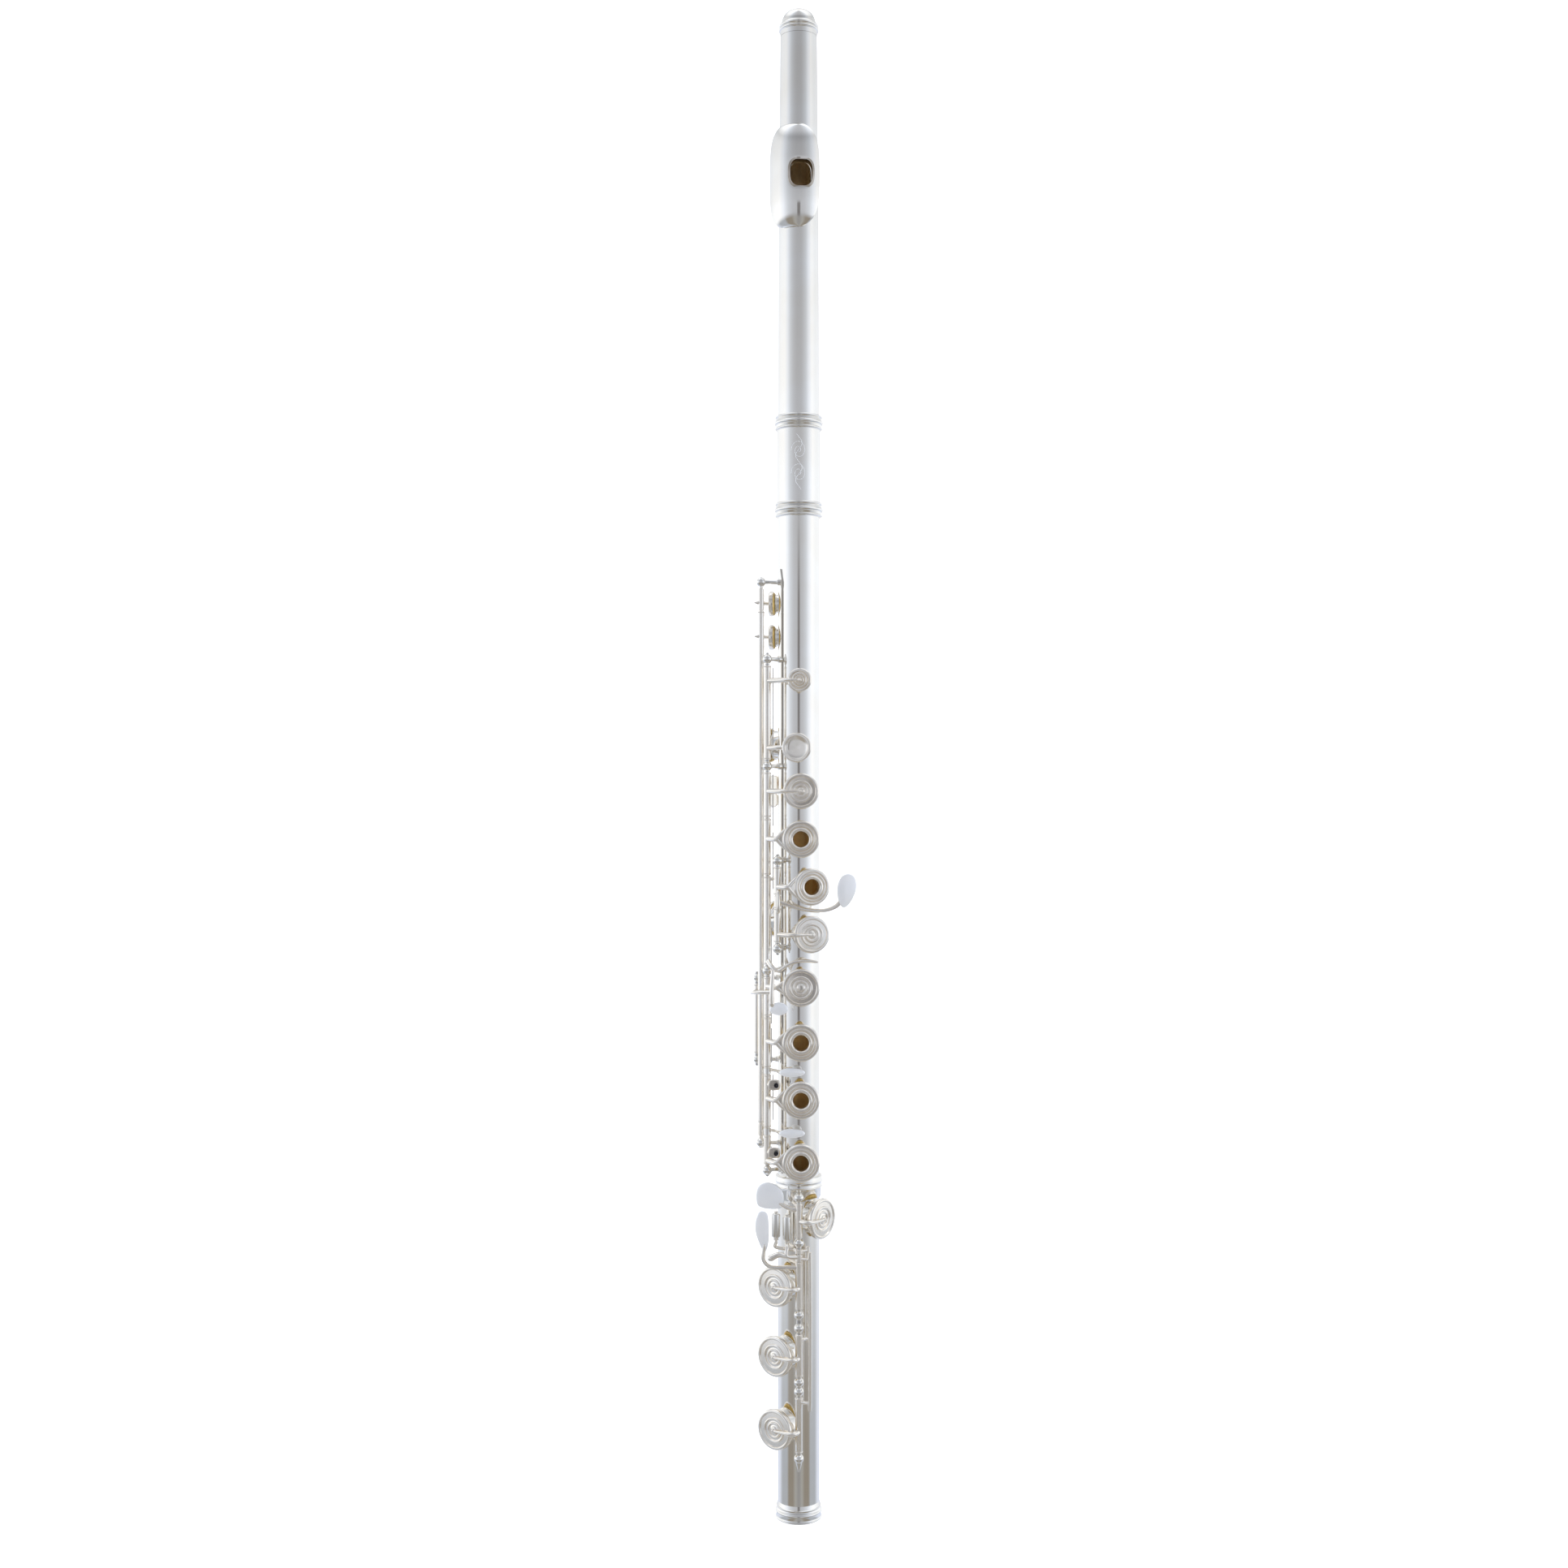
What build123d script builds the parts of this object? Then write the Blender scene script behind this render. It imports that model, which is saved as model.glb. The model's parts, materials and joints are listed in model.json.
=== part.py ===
from build123d import *
import os
from math import sin, cos, radians

# A concert flute with a B foot, open-hole keys and an offset G, standing on its open foot end.
# Z runs up the bore from the foot end to the crown. The key cups face -Y, the hinge rods are on -X.
# An angle round the tube is counted from the front (-Y) towards the rods (-X). All sizes are in mm.

# Tubes
BORE_R = 9.5
WALL = 0.4
TUBE_R = BORE_R + WALL
FOOT_TOP = 153.4          # where the plain foot tube opens into its socket
SOCKET_TOP = 163.6
BODY_BOTTOM = 154.1       # end of the tenon inside the foot socket
BODY_TOP = 484.0
BARREL_BOTTOM, BARREL_TOP = 477.0, 525.5
HEAD_BOTTOM, HEAD_TOP = 488.0, 706.5
HEAD_TENON_R = 9.85       # slides in the barrel with 0.05 mm to spare
HEAD_TENON_TOP = 532.0
HEAD_TOP_R = 8.75
TAPER_Z, TAPER_R = 615.0, 9.45  # a point on the head joint's gentle taper
OVERALL = 719.6
BLOW_Z = 637.9            # centre of the embouchure hole
BLOW_ANGLE = -5.0
BLOW_SIZE = (12.4, 10.4)  # along the tube, across it
FIT = 0.05                # radial clearance of every running fit

# Keywork
ROD_R = 1.0
HINGE_R = 1.7
THIN_HINGE_R = 1.5
BALL_R = 2.3
SEAT = 12.0               # height of a large tone hole's rim above the tube axis
SMALL_SEAT = 11.1
PAD_GAP = 0.1             # pad to rim with the key closed
MAIN_ROD = (-14.9, -9.2)
G_ROD = (-10.1, -13.0)
TRILL_ROD = (-17.9, -5.0)
BFLAT_ROD = (-19.9, -2.0)
THUMB_ROD = (-3.8, 14.0)
FOOT_ROD = (0.0, -14.5)
OPEN_MAIN = 9.5           # degrees that an open-standing key is lifted
OPEN_THUMB = 11.0
OPEN_FOOT = 12.0
RIB_FROM, RIB_TO, RIB_R = 51.0, 63.0, 10.6

# Tone holes: height, angle round the tube, inner radius, rim height
D_SHARP_TRILL = (436.0, 95.0, 3.9, SMALL_SEAT)
D_TRILL = (420.0, 95.0, 3.9, SMALL_SEAT)
C_SHARP = (398.7, -5.0, 3.6, SMALL_SEAT)
THUMB = (368.5, 110.0, 6.3, SEAT)
B_HOLE = (346.5, -8.0, 6.5, SEAT)
A_HOLE = (324.0, -8.0, 6.8, SEAT)
G_HOLE = (301.5, -26.0, 6.9, SEAT)
LOW_G_HOLE = (279.1, -26.0, 6.9, SEAT)
G_SHARP = (285.0, 128.0, 6.9, SEAT)
F_SHARP = (254.3, -8.0, 7.0, SEAT)
F_HOLE = (228.4, -8.0, 7.0, SEAT)
E_HOLE = (201.4, -8.0, 7.0, SEAT)
D_HOLE = (172.0, -8.0, 7.0, SEAT)
E_FLAT = (144.2, -51.0, 7.5, SEAT)
FOOT_C_SHARP = (112.8, 48.0, 7.6, SEAT)
FOOT_C = (79.9, 48.0, 7.6, SEAT)
FOOT_B = (45.4, 48.0, 7.6, SEAT)
BODY_HOLES = [D_SHARP_TRILL, D_TRILL, C_SHARP, THUMB, B_HOLE, A_HOLE, G_HOLE, LOW_G_HOLE, G_SHARP,
              F_SHARP, F_HOLE, E_HOLE, D_HOLE]
FOOT_HOLES = [E_FLAT, FOOT_C_SHARP, FOOT_C, FOOT_B]
FINGER_HOLE_R = 3.55

# Post heights on each hinge line, and the spans of the right-hand hinge tubes. Two spacers between the
# spans stay still where the trill touches' arms pass under the rod.
MAIN_POSTS = (409.0, 358.3, 261.7, 167.3)
G_POSTS = (313.8, 272.4)
TRILL_POSTS = (445.8, 179.6)
BFLAT_POSTS = (257.6, 218.7)
THUMB_POSTS = (377.4, 335.8)
FOOT_POSTS = (155.3, 134.1, 100.2, 94.0, 68.6, 64.2, 32.7)
F_SPAN, E_SPAN, D_SPAN = (215.8, 239.8), (187.4, 212.7), (170.0, 183.9)
SPACERS = ((212.8, 215.7), (184.0, 187.3))


# ---------------------------------------------------------------- shared shapes
def turned(points, rounds=()):
    """A solid turned about Z from (radius, height) points; rounds lists (point number, radius)."""
    face = make_face(Polyline(*points, close=True))
    for number, radius in rounds:
        corner = face.vertices().sort_by_distance((*points[number], 0))[0]
        face = fillet(corner, radius)
    return revolve(Plane.XZ * face, Axis.Z)


def ring(outer, inner, low, high, centre=(0, 0)):
    """A straight tube between two heights."""
    tube = Cylinder(outer, high - low) - Cylinder(inner, high - low + 2)
    return Pos(*centre, (low + high) / 2) * tube


def rod(radius, low, high, centre=(0, 0)):
    return Pos(*centre, (low + high) / 2) * Cylinder(radius, high - low)


def bar(points, radii):
    """A round bar through the points, with a radius at each and a ball at every corner."""
    shape = None
    for start, end, r_start, r_end in zip(points, points[1:], radii, radii[1:]):
        run = Vector(*end) - Vector(*start)
        plane = Plane(origin=start, z_dir=run)
        low = (Align.CENTER, Align.CENTER, Align.MIN)
        if abs(r_start - r_end) < 1e-6:
            piece = Cylinder(r_start, run.length, align=low)
        else:
            piece = Cone(r_start, r_end, run.length, align=low)
        piece = plane.location * piece
        shape = piece if shape is None else shape + piece
    for point, radius in zip(points, radii):
        shape = shape + Pos(*point) * Sphere(radius)
    return shape


def around(angle, distance):
    """The point at this distance from the tube axis."""
    return (-distance * sin(radians(angle)), -distance * cos(radians(angle)))


def facing(z, angle):
    """Frame of a key cup: Z points out of the tube, X up the tube, Y towards the rods."""
    out = (*around(angle, 1.0), 0)
    return Plane(origin=(0, 0, z), x_dir=(0, 0, 1), z_dir=out).location


def in_frame(point, angle):
    """A rod's place in a cup's frame, as Y and Z."""
    a = radians(angle)
    return (-point[0] * cos(a) + point[1] * sin(a), -point[0] * sin(a) - point[1] * cos(a))


def lifted(shape, hinge, degrees):
    """The shape turned about a hinge rod."""
    return shape.rotate(Axis((*hinge, 0), (0, 0, 1)), degrees)


# ---------------------------------------------------------------- tubes
def bored_tube(low, high, holes):
    """A tube with a drawn, rolled rim round each tone hole."""
    tube = rod(TUBE_R, low, high)
    for z, angle, radius, seat in holes:
        low_align = (Align.CENTER, Align.CENTER, Align.MIN)
        chimney = Pos(0, 0, 7) * Cylinder(radius + 0.4, seat - 7, align=low_align)
        lip = Pos(0, 0, seat - 0.8) * Cylinder(radius + 0.7, 0.8, align=low_align)
        lip = fillet(lip.edges().filter_by(GeomType.CIRCLE), 0.3)
        tube = tube + facing(z, angle) * (chimney + lip)
    tube = tube - rod(BORE_R, low - 1, high + 1)
    for z, angle, radius, seat in holes:
        tube = tube - facing(z, angle) * Pos(0, 0, 10) * Cylinder(radius, 20)
    return tube


def foot_socket():
    """The socket that takes the body's tenon, with its ring and lip."""
    inner = TUBE_R + FIT
    points = [(inner, FOOT_TOP), (10.6, FOOT_TOP), (10.6, 157.0), (11.3, 157.5), (11.3, 158.4),
              (10.8, 158.8), (11.3, 159.4), (11.3, 162.6), (10.8, SOCKET_TOP), (inner, SOCKET_TOP)]
    return turned(points, [(4, 0.4), (7, 0.6)])


def foot_neck():
    """The step that closes the socket onto the foot tube."""
    points = [(TUBE_R, FOOT_TOP - 1.0), (10.6, FOOT_TOP - 0.4), (10.6, FOOT_TOP), (BORE_R, FOOT_TOP),
              (BORE_R, FOOT_TOP - 0.4), (TUBE_R, FOOT_TOP - 0.4)]
    return turned(points)


def end_ring():
    points = [(TUBE_R, 0.0), (10.9, 0.0), (11.0, 1.6), (10.5, 2.2), (11.0, 3.0), (11.0, 5.6),
              (10.4, 6.8), (TUBE_R, 8.2)]
    return turned(points, [(1, 0.3), (4, 0.5), (5, 0.6)])


def barrel():
    """The sleeve soldered over the body tube that takes the head joint's tenon."""
    return ring(10.3, TUBE_R, BARREL_BOTTOM, BARREL_TOP)


def barrel_ring(low):
    """A ring of one broad bead between two fine ones."""
    inner = 10.3
    shape = ring(10.8, inner, low, low + 7.0)
    for height, radius, size in ((1.1, 10.75, 0.55), (3.5, 10.6, 1.0), (5.9, 10.75, 0.55)):
        bead = Pos(0, 0, low + height) * Torus(radius, size)
        shape = shape + bead
    return shape - rod(inner, low - 3, low + 10)


# ---------------------------------------------------------------- head joint
def head_outline(inset):
    """The head joint as a solid bar: a straight tenon, then the taper up to the crown."""
    top, mid = HEAD_TOP_R - inset, TAPER_R - inset
    tenon = HEAD_TENON_R - inset
    side = Polyline((0, HEAD_TOP), (0, HEAD_BOTTOM), (tenon, HEAD_BOTTOM), (tenon, HEAD_TENON_TOP))
    taper = Spline((tenon, HEAD_TENON_TOP), (mid, TAPER_Z), (top, HEAD_TOP))
    face = make_face([side, taper, Line((top, HEAD_TOP), (0, HEAD_TOP))])
    return revolve(Plane.XZ * face, Axis.Z)


def blow_hole(grow):
    """The embouchure hole's rounded rectangle, as a block through the front wall."""
    outline = RectangleRounded(BLOW_SIZE[0] + 2 * grow, BLOW_SIZE[1] + 2 * grow, 4.3 + grow)
    return facing(BLOW_Z, BLOW_ANGLE) * Pos(0, 0, 5) * extrude(outline, 15)


def plate_outline(inset):
    """The lip plate's swelling, turned about the tube."""
    half, low = 24.5, 9.9 - inset
    ends = [(low, BLOW_Z - half), (low, BLOW_Z + half)]
    swell = Spline(ends[0], (12.6 - inset, BLOW_Z - 17), (13.9 - inset, BLOW_Z), (12.6 - inset, BLOW_Z + 17),
                   ends[1])
    face = make_face([swell, Polyline(ends[1], (0, ends[1][1]), (0, ends[0][1]), ends[0])])
    return revolve(Plane.XZ * face, Axis.Z)


def lip_plate():
    """A curved plate that reaches further round on the player's side."""
    blank = facing(BLOW_Z, 24.0) * extrude(RectangleRounded(50.0, 25.6, 12.2), 30)
    plate = (plate_outline(0.0) & blank) - plate_outline(0.9) - blow_hole(0.0)
    return plate - head_outline(0.0)


def riser():
    """The chimney between the head tube and the lip plate."""
    return (blow_hole(1.2) & plate_outline(0.9)) - head_outline(0.0) - blow_hole(0.0)


def head_tube():
    return head_outline(0.0) - head_outline(WALL) - blow_hole(0.0) - rod(8.3, 700, 710) - rod(9.4, 487, 490)


def cork_parts():
    """The cork plug, and the reflector, screw and washer that carry it."""
    face = BLOW_Z + 17.3
    radius = 8.35
    screw = rod(2.0, face + 1.2, HEAD_TOP + 9.0)
    cork = rod(radius, face + 1.2, face + 15.0) - screw
    metal = rod(radius, face, face + 1.2) + screw + (rod(6.5, face + 15.0, face + 16.2))
    return cork, metal


def crown():
    base = HEAD_TOP + PAD_GAP
    points = [(0, base), (9.4, base), (9.6, base + 1.6), (9.4, base + 3.4), (8.3, base + 4.2),
              (8.3, base + 5.4), (7.6, base + 6.0), (7.6, base + 7.6), (6.0, base + 11.4),
              (3.2, OVERALL - 0.4), (0, OVERALL)]
    cap = turned(points, [(2, 0.8), (4, 0.4), (7, 1.0), (8, 3.0)])
    return cap - rod(2.0 + FIT, base - 1, HEAD_TOP + 9.5)


# ---------------------------------------------------------------- cups, pads and arms
def closed_cup(radius, seat):
    step = 0.52 * radius
    boss = 0.22 * radius
    points = [(radius - 0.5, seat + 0.9), (radius, seat + 0.9), (radius, seat + 3.1),
              (radius - 1.5, seat + 3.1), (radius - 1.9, seat + 2.75), (step + 0.4, seat + 2.9),
              (step, seat + 3.2), (boss + 0.7, seat + 3.25), (boss, seat + 3.5), (0, seat + 3.6),
              (0, seat + 2.3), (radius - 0.5, seat + 2.3)]
    return turned(points, [(2, 0.8), (3, 0.3), (6, 0.15)])


def open_cup(radius, seat):
    """A ring cup whose centre is a grommet round the finger hole."""
    hole = FINGER_HOLE_R
    points = [(radius - 0.5, seat + 0.9), (radius, seat + 0.9), (radius, seat + 3.3),
              (radius - 1.8, seat + 3.3), (hole + 2.5, seat + 2.65), (hole + 2.2, seat + 3.3),
              (hole + 0.7, seat + 3.3), (hole, seat + 2.7), (hole, seat + 0.4), (hole + 0.5, seat + 0.4),
              (hole + 0.5, seat + 2.1), (radius - 0.5, seat + 2.1)]
    return turned(points, [(2, 0.8), (3, 0.5), (5, 0.3), (6, 0.5)])


def dish(radius, seat):
    """A finger touch shaped like a cup, with no pad under it."""
    points = [(0, seat + 1.2), (radius - 0.8, seat + 1.2), (radius, seat + 2.0), (radius, seat + 3.2),
              (radius - 1.2, seat + 3.4), (radius - 1.9, seat + 2.7), (0, seat + 2.4)]
    return turned(points, [(3, 0.4), (4, 0.4)])


def hollow(radius, seat):
    """The space under a closed cup that holds its pad."""
    return Pos(0, 0, seat + 0.8) * Cylinder(radius - 0.5, 3.0)


def pad(radius, seat, opened):
    outer, low, high = radius - 0.6, seat + PAD_GAP, seat + (2.1 if opened else 2.3)
    inner = FINGER_HOLE_R + 0.6 if opened else 0
    points = [(inner, low), (outer, low), (outer, high), (inner, high)]
    return turned(points, [(1, 0.6)])


def pointed_arm(radius, seat, hinge, angle, tip=0.75):
    """An arm from the hinge tube over the cup, ending in a small ball at its centre."""
    y, z = in_frame(hinge, angle)
    side = 1 if y > 0 else -1
    points = [(0, y, z), (0, side * (radius + 1.0), seat + 2.7), (0, side * 0.4 * radius, seat + 3.85),
              (0, 0, seat + 3.8)]
    return bar(points, [1.4, 1.15, 0.62, tip]) - hollow(radius, seat)


def forked_arm(radius, seat, hinge, angle, spread):
    """An arm that fans out to meet the side of the cup."""
    y, z = in_frame(hinge, angle)
    side = 1 if y > 0 else -1
    root = side * (radius + 2.6)
    neck = bar([(0, y, z), (0, root, seat + 1.7)], [1.4, 1.1])
    edge = side * 0.8 * radius
    fan = Polyline((-1.0, root), (1.0, root), (spread, edge), (-spread, edge), close=True)
    web = Pos(0, 0, seat + 1.0) * extrude(make_face(fan), 1.5)
    return neck + web - Pos(0, 0, seat + 2) * Cylinder(radius - 0.3, 6)


def cup_on_arm(hole, radius, hinge, kind, spread=4.2):
    """A cup with its arm, closed on its tone hole."""
    z, angle, _, seat = hole
    if kind == "pointed":
        shape = closed_cup(radius, seat) + pointed_arm(radius, seat, hinge, angle)
    elif kind == "plateau":
        shape = closed_cup(radius, seat) + forked_arm(radius, seat, hinge, angle, spread)
    else:
        shape = open_cup(radius, seat) + forked_arm(radius, seat, hinge, angle, spread)
    return facing(z, angle) * shape


def pad_on(hole, radius, kind):
    z, angle, _, seat = hole
    return facing(z, angle) * pad(radius, seat, kind == "open")


def hinge_tube(hinge, low, high, radius=HINGE_R):
    return rod(radius, low, high, hinge)


def drill(shape, hinge, low, high):
    """The running bore for a key's hinge rod."""
    return shape - rod(ROD_R + FIT, low - 1, high + 1, hinge)


def sprung_key(hole, radius, hinge, kind, low, high, lift, spread=4.2):
    """A one-cup key and its pad, standing open by the lift."""
    cup = lifted(cup_on_arm(hole, radius, hinge, kind, spread), hinge, lift)
    key = drill(cup + hinge_tube(hinge, low, high), hinge, low, high)
    return key, lifted(pad_on(hole, radius, kind), hinge, lift)


# ---------------------------------------------------------------- keys on the body
def c_sharp_key():
    """The small C sharp cup and the first finger's touch on one hinge tube."""
    low, high = 361.3, 406.0
    cup = cup_on_arm(C_SHARP, 5.7, MAIN_ROD, "pointed")
    touch = facing(367.0, 0) * (dish(7.0, SEAT) + forked_arm(7.0, SEAT, MAIN_ROD, 0, 3.0))
    key = lifted(cup + touch, MAIN_ROD, -OPEN_MAIN) + hinge_tube(MAIN_ROD, low, high)
    return drill(key, MAIN_ROD, low, high), lifted(pad_on(C_SHARP, 5.7, "pointed"), MAIN_ROD, -OPEN_MAIN)


def g_key():
    """Two linked G cups, offset towards the ring finger."""
    low, high = 275.2, 291.6
    upper = cup_on_arm(G_HOLE, 8.75, G_ROD, "open")
    lower = cup_on_arm(LOW_G_HOLE, 8.75, G_ROD, "pointed")
    key = lifted(upper + lower, G_ROD, -OPEN_MAIN)
    key = key + hinge_tube(G_ROD, low, high) + hinge_tube(G_ROD, 297.6, 311.0)
    link_x, link_y = G_ROD[0] + 0.4, G_ROD[1] - 2.6
    link = bar([(*G_ROD, 289.5), (link_x, link_y, 290.3), (link_x, link_y, 298.8), (*G_ROD, 299.6)],
               [0.9, 0.9, 0.9, 0.9])
    pads = [lifted(pad_on(G_HOLE, 8.75, "open"), G_ROD, -OPEN_MAIN),
            lifted(pad_on(LOW_G_HOLE, 8.75, "pointed"), G_ROD, -OPEN_MAIN)]
    return drill(key + link, G_ROD, low, 311.0), pads


def spoon(length, width, thick):
    """A teardrop touch with a softened edge, lying in XY with its stem end at -X."""
    outline = Ellipse(length / 2, width / 2)
    blade = extrude(outline, thick)
    return fillet(blade.edges(), 0.4 * thick)


def g_sharp_key():
    """The little finger's lever in front, and its closed cup round the back of the tube."""
    low, high = 291.9, 297.3
    z, angle, _, seat = G_SHARP
    reach = bar([(*G_ROD, 294.8), (-7.0, -13.4, 293.6), (2.0, -13.2, 291.0), (11.0, -12.2, 290.2),
                 (17.6, -11.2, 292.6)], [1.4, 1.0, 0.9, 0.9, 1.1])
    tilt = Plane(origin=(22.4, -11.6, 299.6), x_dir=(0.18, 0, 1), z_dir=(0.12, -1, 0))
    touch = tilt.location * Pos(0, 0, -0.6) * spoon(16.2, 9.0, 1.3)
    heel = bar([(17.6, -11.2, 292.6), (21.0, -11.5, 296.0)], [1.1, 0.6])
    top = around(angle, seat + 3.3)
    back = bar([(*G_ROD, 294.4), (-11.0, -8.1, 292.0), (-13.1, -3.0, 288.5), (-15.4, 0.2, 286.4),
                (-16.7, 2.6, 285.4), (*top, z)], [1.4, 0.8, 0.8, 0.8, 0.85, 0.6])
    cup = facing(z, angle) * closed_cup(8.7, seat)
    key = reach + touch + heel + back + cup + hinge_tube(G_ROD, low, high)
    key = key - facing(z, angle) * hollow(8.7, seat)
    return drill(key, G_ROD, low, high), pad_on(G_SHARP, 8.7, "pointed")


def trill_cup(hole):
    z, angle, _, seat = hole
    top = around(angle, seat + 3.4)
    arm = bar([(*TRILL_ROD, z), (*top, z)], [1.3, 0.9])
    tip = bar([(*TRILL_ROD, z), (TRILL_ROD[0] - 3.0, TRILL_ROD[1] - 0.6, z)], [1.4, 0.4])
    cup = facing(z, angle) * closed_cup(6.0, seat)
    return arm + tip + cup - facing(z, angle) * hollow(6.0, seat)


def trill_touch(z):
    """An oval touch on an arm that passes under the main rod."""
    arm = bar([(*TRILL_ROD, z), (-14.3, -5.3, z), (-10.9, -9.0, z), (-8.6, -13.8, z)],
              [1.3, 0.8, 0.8, 0.9])
    blade = Plane(origin=(-3.2, -15.0, z), x_dir=(1, 0, 0), z_dir=(0, -1, 0))
    touch = blade.location * Pos(0, 0, -0.7) * spoon(12.0, 4.4, 1.4)
    return arm + touch


def d_sharp_trill_key():
    """Pinned to its rod, which turns in the end posts."""
    key = trill_cup(D_SHARP_TRILL) + trill_touch(185.7)
    key = key + hinge_tube(TRILL_ROD, 432.4, 442.6, THIN_HINGE_R)
    key = key + hinge_tube(TRILL_ROD, 182.9, 188.6, THIN_HINGE_R) + rod(ROD_R, 177.9, 447.6, TRILL_ROD)
    return key, pad_on(D_SHARP_TRILL, 6.0, "pointed")


def d_trill_key():
    low, high = 188.9, 432.1
    key = trill_cup(D_TRILL) + trill_touch(214.3) + hinge_tube(TRILL_ROD, low, high, THIN_HINGE_R)
    return drill(key, TRILL_ROD, low, high), pad_on(D_TRILL, 6.0, "pointed")


def thumb_key():
    """The thumb cup at the back left, with the two thumb plates below it."""
    low, high = 338.6, 374.4
    z, angle, _, seat = THUMB
    top = around(angle, seat + 3.3)
    arm = bar([(*THUMB_ROD, z), (*around(142, 17.6), z), (*top, z)], [1.4, 1.1, 0.7])
    cup = facing(z, angle) * closed_cup(8.5, seat)
    closed = arm + cup - facing(z, angle) * hollow(8.5, seat)
    key = lifted(closed, THUMB_ROD, -OPEN_THUMB)
    for height, length in ((350.4, 14.0), (342.2, 9.0)):
        blade = Plane(origin=(*around(128, 15.6), height), x_dir=(0, 0, 1), z_dir=(*around(128, 1), 0))
        key = key + blade.location * Pos(0, 0, -0.7) * spoon(7.4, length, 1.4)
        key = key + bar([(*THUMB_ROD, height), (*around(145, 16.2), height)], [1.4, 0.9])
    key = key + hinge_tube(THUMB_ROD, low, high)
    return drill(key, THUMB_ROD, low, high), lifted(pad_on(THUMB, 8.5, "pointed"), THUMB_ROD, -OPEN_THUMB)


def b_flat_lever():
    """The first finger's side lever, bridging over the two hinge rods."""
    low, high = 221.5, 254.8
    bridge = bar([(*BFLAT_ROD, 251.0), (-22.2, -8.0, 251.0), (-20.2, -15.5, 252.0), (-13.2, -18.8, 252.6)],
                 [1.2, 0.9, 0.9, 0.95])
    rail = bar([(-12.0, -18.9, 262.4), (-12.8, -18.9, 252.4), (-12.4, -18.6, 246.6)], [0.9, 1.05, 1.1])
    blade = Plane(origin=(-9.4, -18.2, 244.6), x_dir=(1, 0, 0.1), z_dir=(0, -1, 0))
    touch = blade.location * Pos(0, 0, -0.7) * spoon(8.6, 6.2, 1.4)
    key = bridge + rail + touch + hinge_tube(BFLAT_ROD, low, high, 1.4)
    return drill(key, BFLAT_ROD, low, high)


def split_e_lever():
    """The crescent that reaches over the F sharp plateau to the low G cup."""
    low, high = 264.5, 306.4
    crescent = bar([(*MAIN_ROD, 266.8), (-12.6, -13.0, 263.6), (-9.6, -14.2, 262.0), (-6.0, -14.8, 264.4),
                    (-2.0, -15.0, 266.2), (3.0, -14.8, 266.8), (8.6, -14.2, 266.2)],
                   [1.4, 1.1, 0.9, 0.85, 0.8, 0.8, 0.6])
    finger = bar([(*MAIN_ROD, 305.0), (-12.6, -9.6, 305.0)], [1.4, 0.8])
    key = crescent + finger + hinge_tube(MAIN_ROD, low, high)
    return drill(key, MAIN_ROD, low, high)


def clutch_tab(key, hinge, z, low, high):
    """A flat tab beside the hinge tube, drilled for an adjusting screw, and the screw."""
    tab = Pos(hinge[0] + 3.2, hinge[1] - 2.9, z) * Box(5.0, 1.2, 4.4)
    web = bar([(*hinge, z), (hinge[0] + 1.8, hinge[1] - 2.7, z)], [1.3, 0.8])
    hole = Plane(origin=(hinge[0] + 4.2, hinge[1] - 2.9, z), z_dir=(0, -1, 0)).location
    screw = hole * (Cylinder(0.6, 2.6) + Pos(0, 0, 1.6) * Cylinder(1.05, 1.2))
    key = drill(key + tab + web, hinge, low, high) - hole * Cylinder(0.6, 4)
    return key, screw


# ---------------------------------------------------------------- keys on the foot
def foot_touch(points, thick, back, corner):
    """A flat touch with rounded corners, drawn in X and Z, standing forward of its back."""
    face = make_face(Polyline(*points, close=True))
    face = fillet(face.vertices(), corner)
    blade = extrude(Plane(origin=(0, back, 0), x_dir=(1, 0, 0), z_dir=(0, -1, 0)) * face, thick)
    return fillet(blade.edges(), 0.35 * thick)


def e_flat_key():
    low, high = 136.7, 152.7
    cup = cup_on_arm(E_FLAT, 9.6, FOOT_ROD, "pointed")
    outline = [(-20.2, 160.2), (-17.0, 162.4), (-10.5, 161.2), (-7.0, 157.0), (-7.2, 150.4), (-19.2, 149.9)]
    touch = foot_touch(outline, 1.6, -12.6, 1.5)
    arm = bar([(*FOOT_ROD, 149.6), (-8.2, -13.5, 152.2)], [1.4, 1.0])
    key = cup + touch + arm + hinge_tube(FOOT_ROD, low, high)
    return drill(key, FOOT_ROD, low, high), pad_on(E_FLAT, 9.6, "pointed")


def foot_c_sharp_key():
    low, high = 102.9, 125.1
    cup = lifted(cup_on_arm(FOOT_C_SHARP, 9.6, FOOT_ROD, "pointed"), FOOT_ROD, OPEN_FOOT)
    outline = [(-19.4, 148.8), (-14.6, 148.8), (-14.2, 132.0), (-16.4, 129.8), (-20.8, 140.0)]
    touch = foot_touch(outline, 1.6, -12.8, 1.2)
    arm = bar([(-16.6, -13.5, 133.0), (-16.8, -13.7, 125.6), (-13.4, -14.4, 122.6), (*FOOT_ROD, 122.6)],
              [1.1, 1.0, 1.0, 1.35])
    key = cup + touch + arm + hinge_tube(FOOT_ROD, low, high)
    return drill(key, FOOT_ROD, low, high), lifted(pad_on(FOOT_C_SHARP, 9.6, "pointed"), FOOT_ROD, OPEN_FOOT)


def roller(centre, low, high):
    """A slim barrel-ended roller that turns on its pin."""
    points = [(0.66, low), (1.7, low), (2.05, low + 0.9), (2.05, high - 0.9), (1.7, high), (0.66, high)]
    return Pos(*centre, 0) * turned(points, [(2, 0.6), (3, 0.6)])


C_ROLLER = ((-10.8, -13.5), 136.6, 147.8)
B_ROLLER = ((-5.6, -14.6), 135.6, 146.8)


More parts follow.
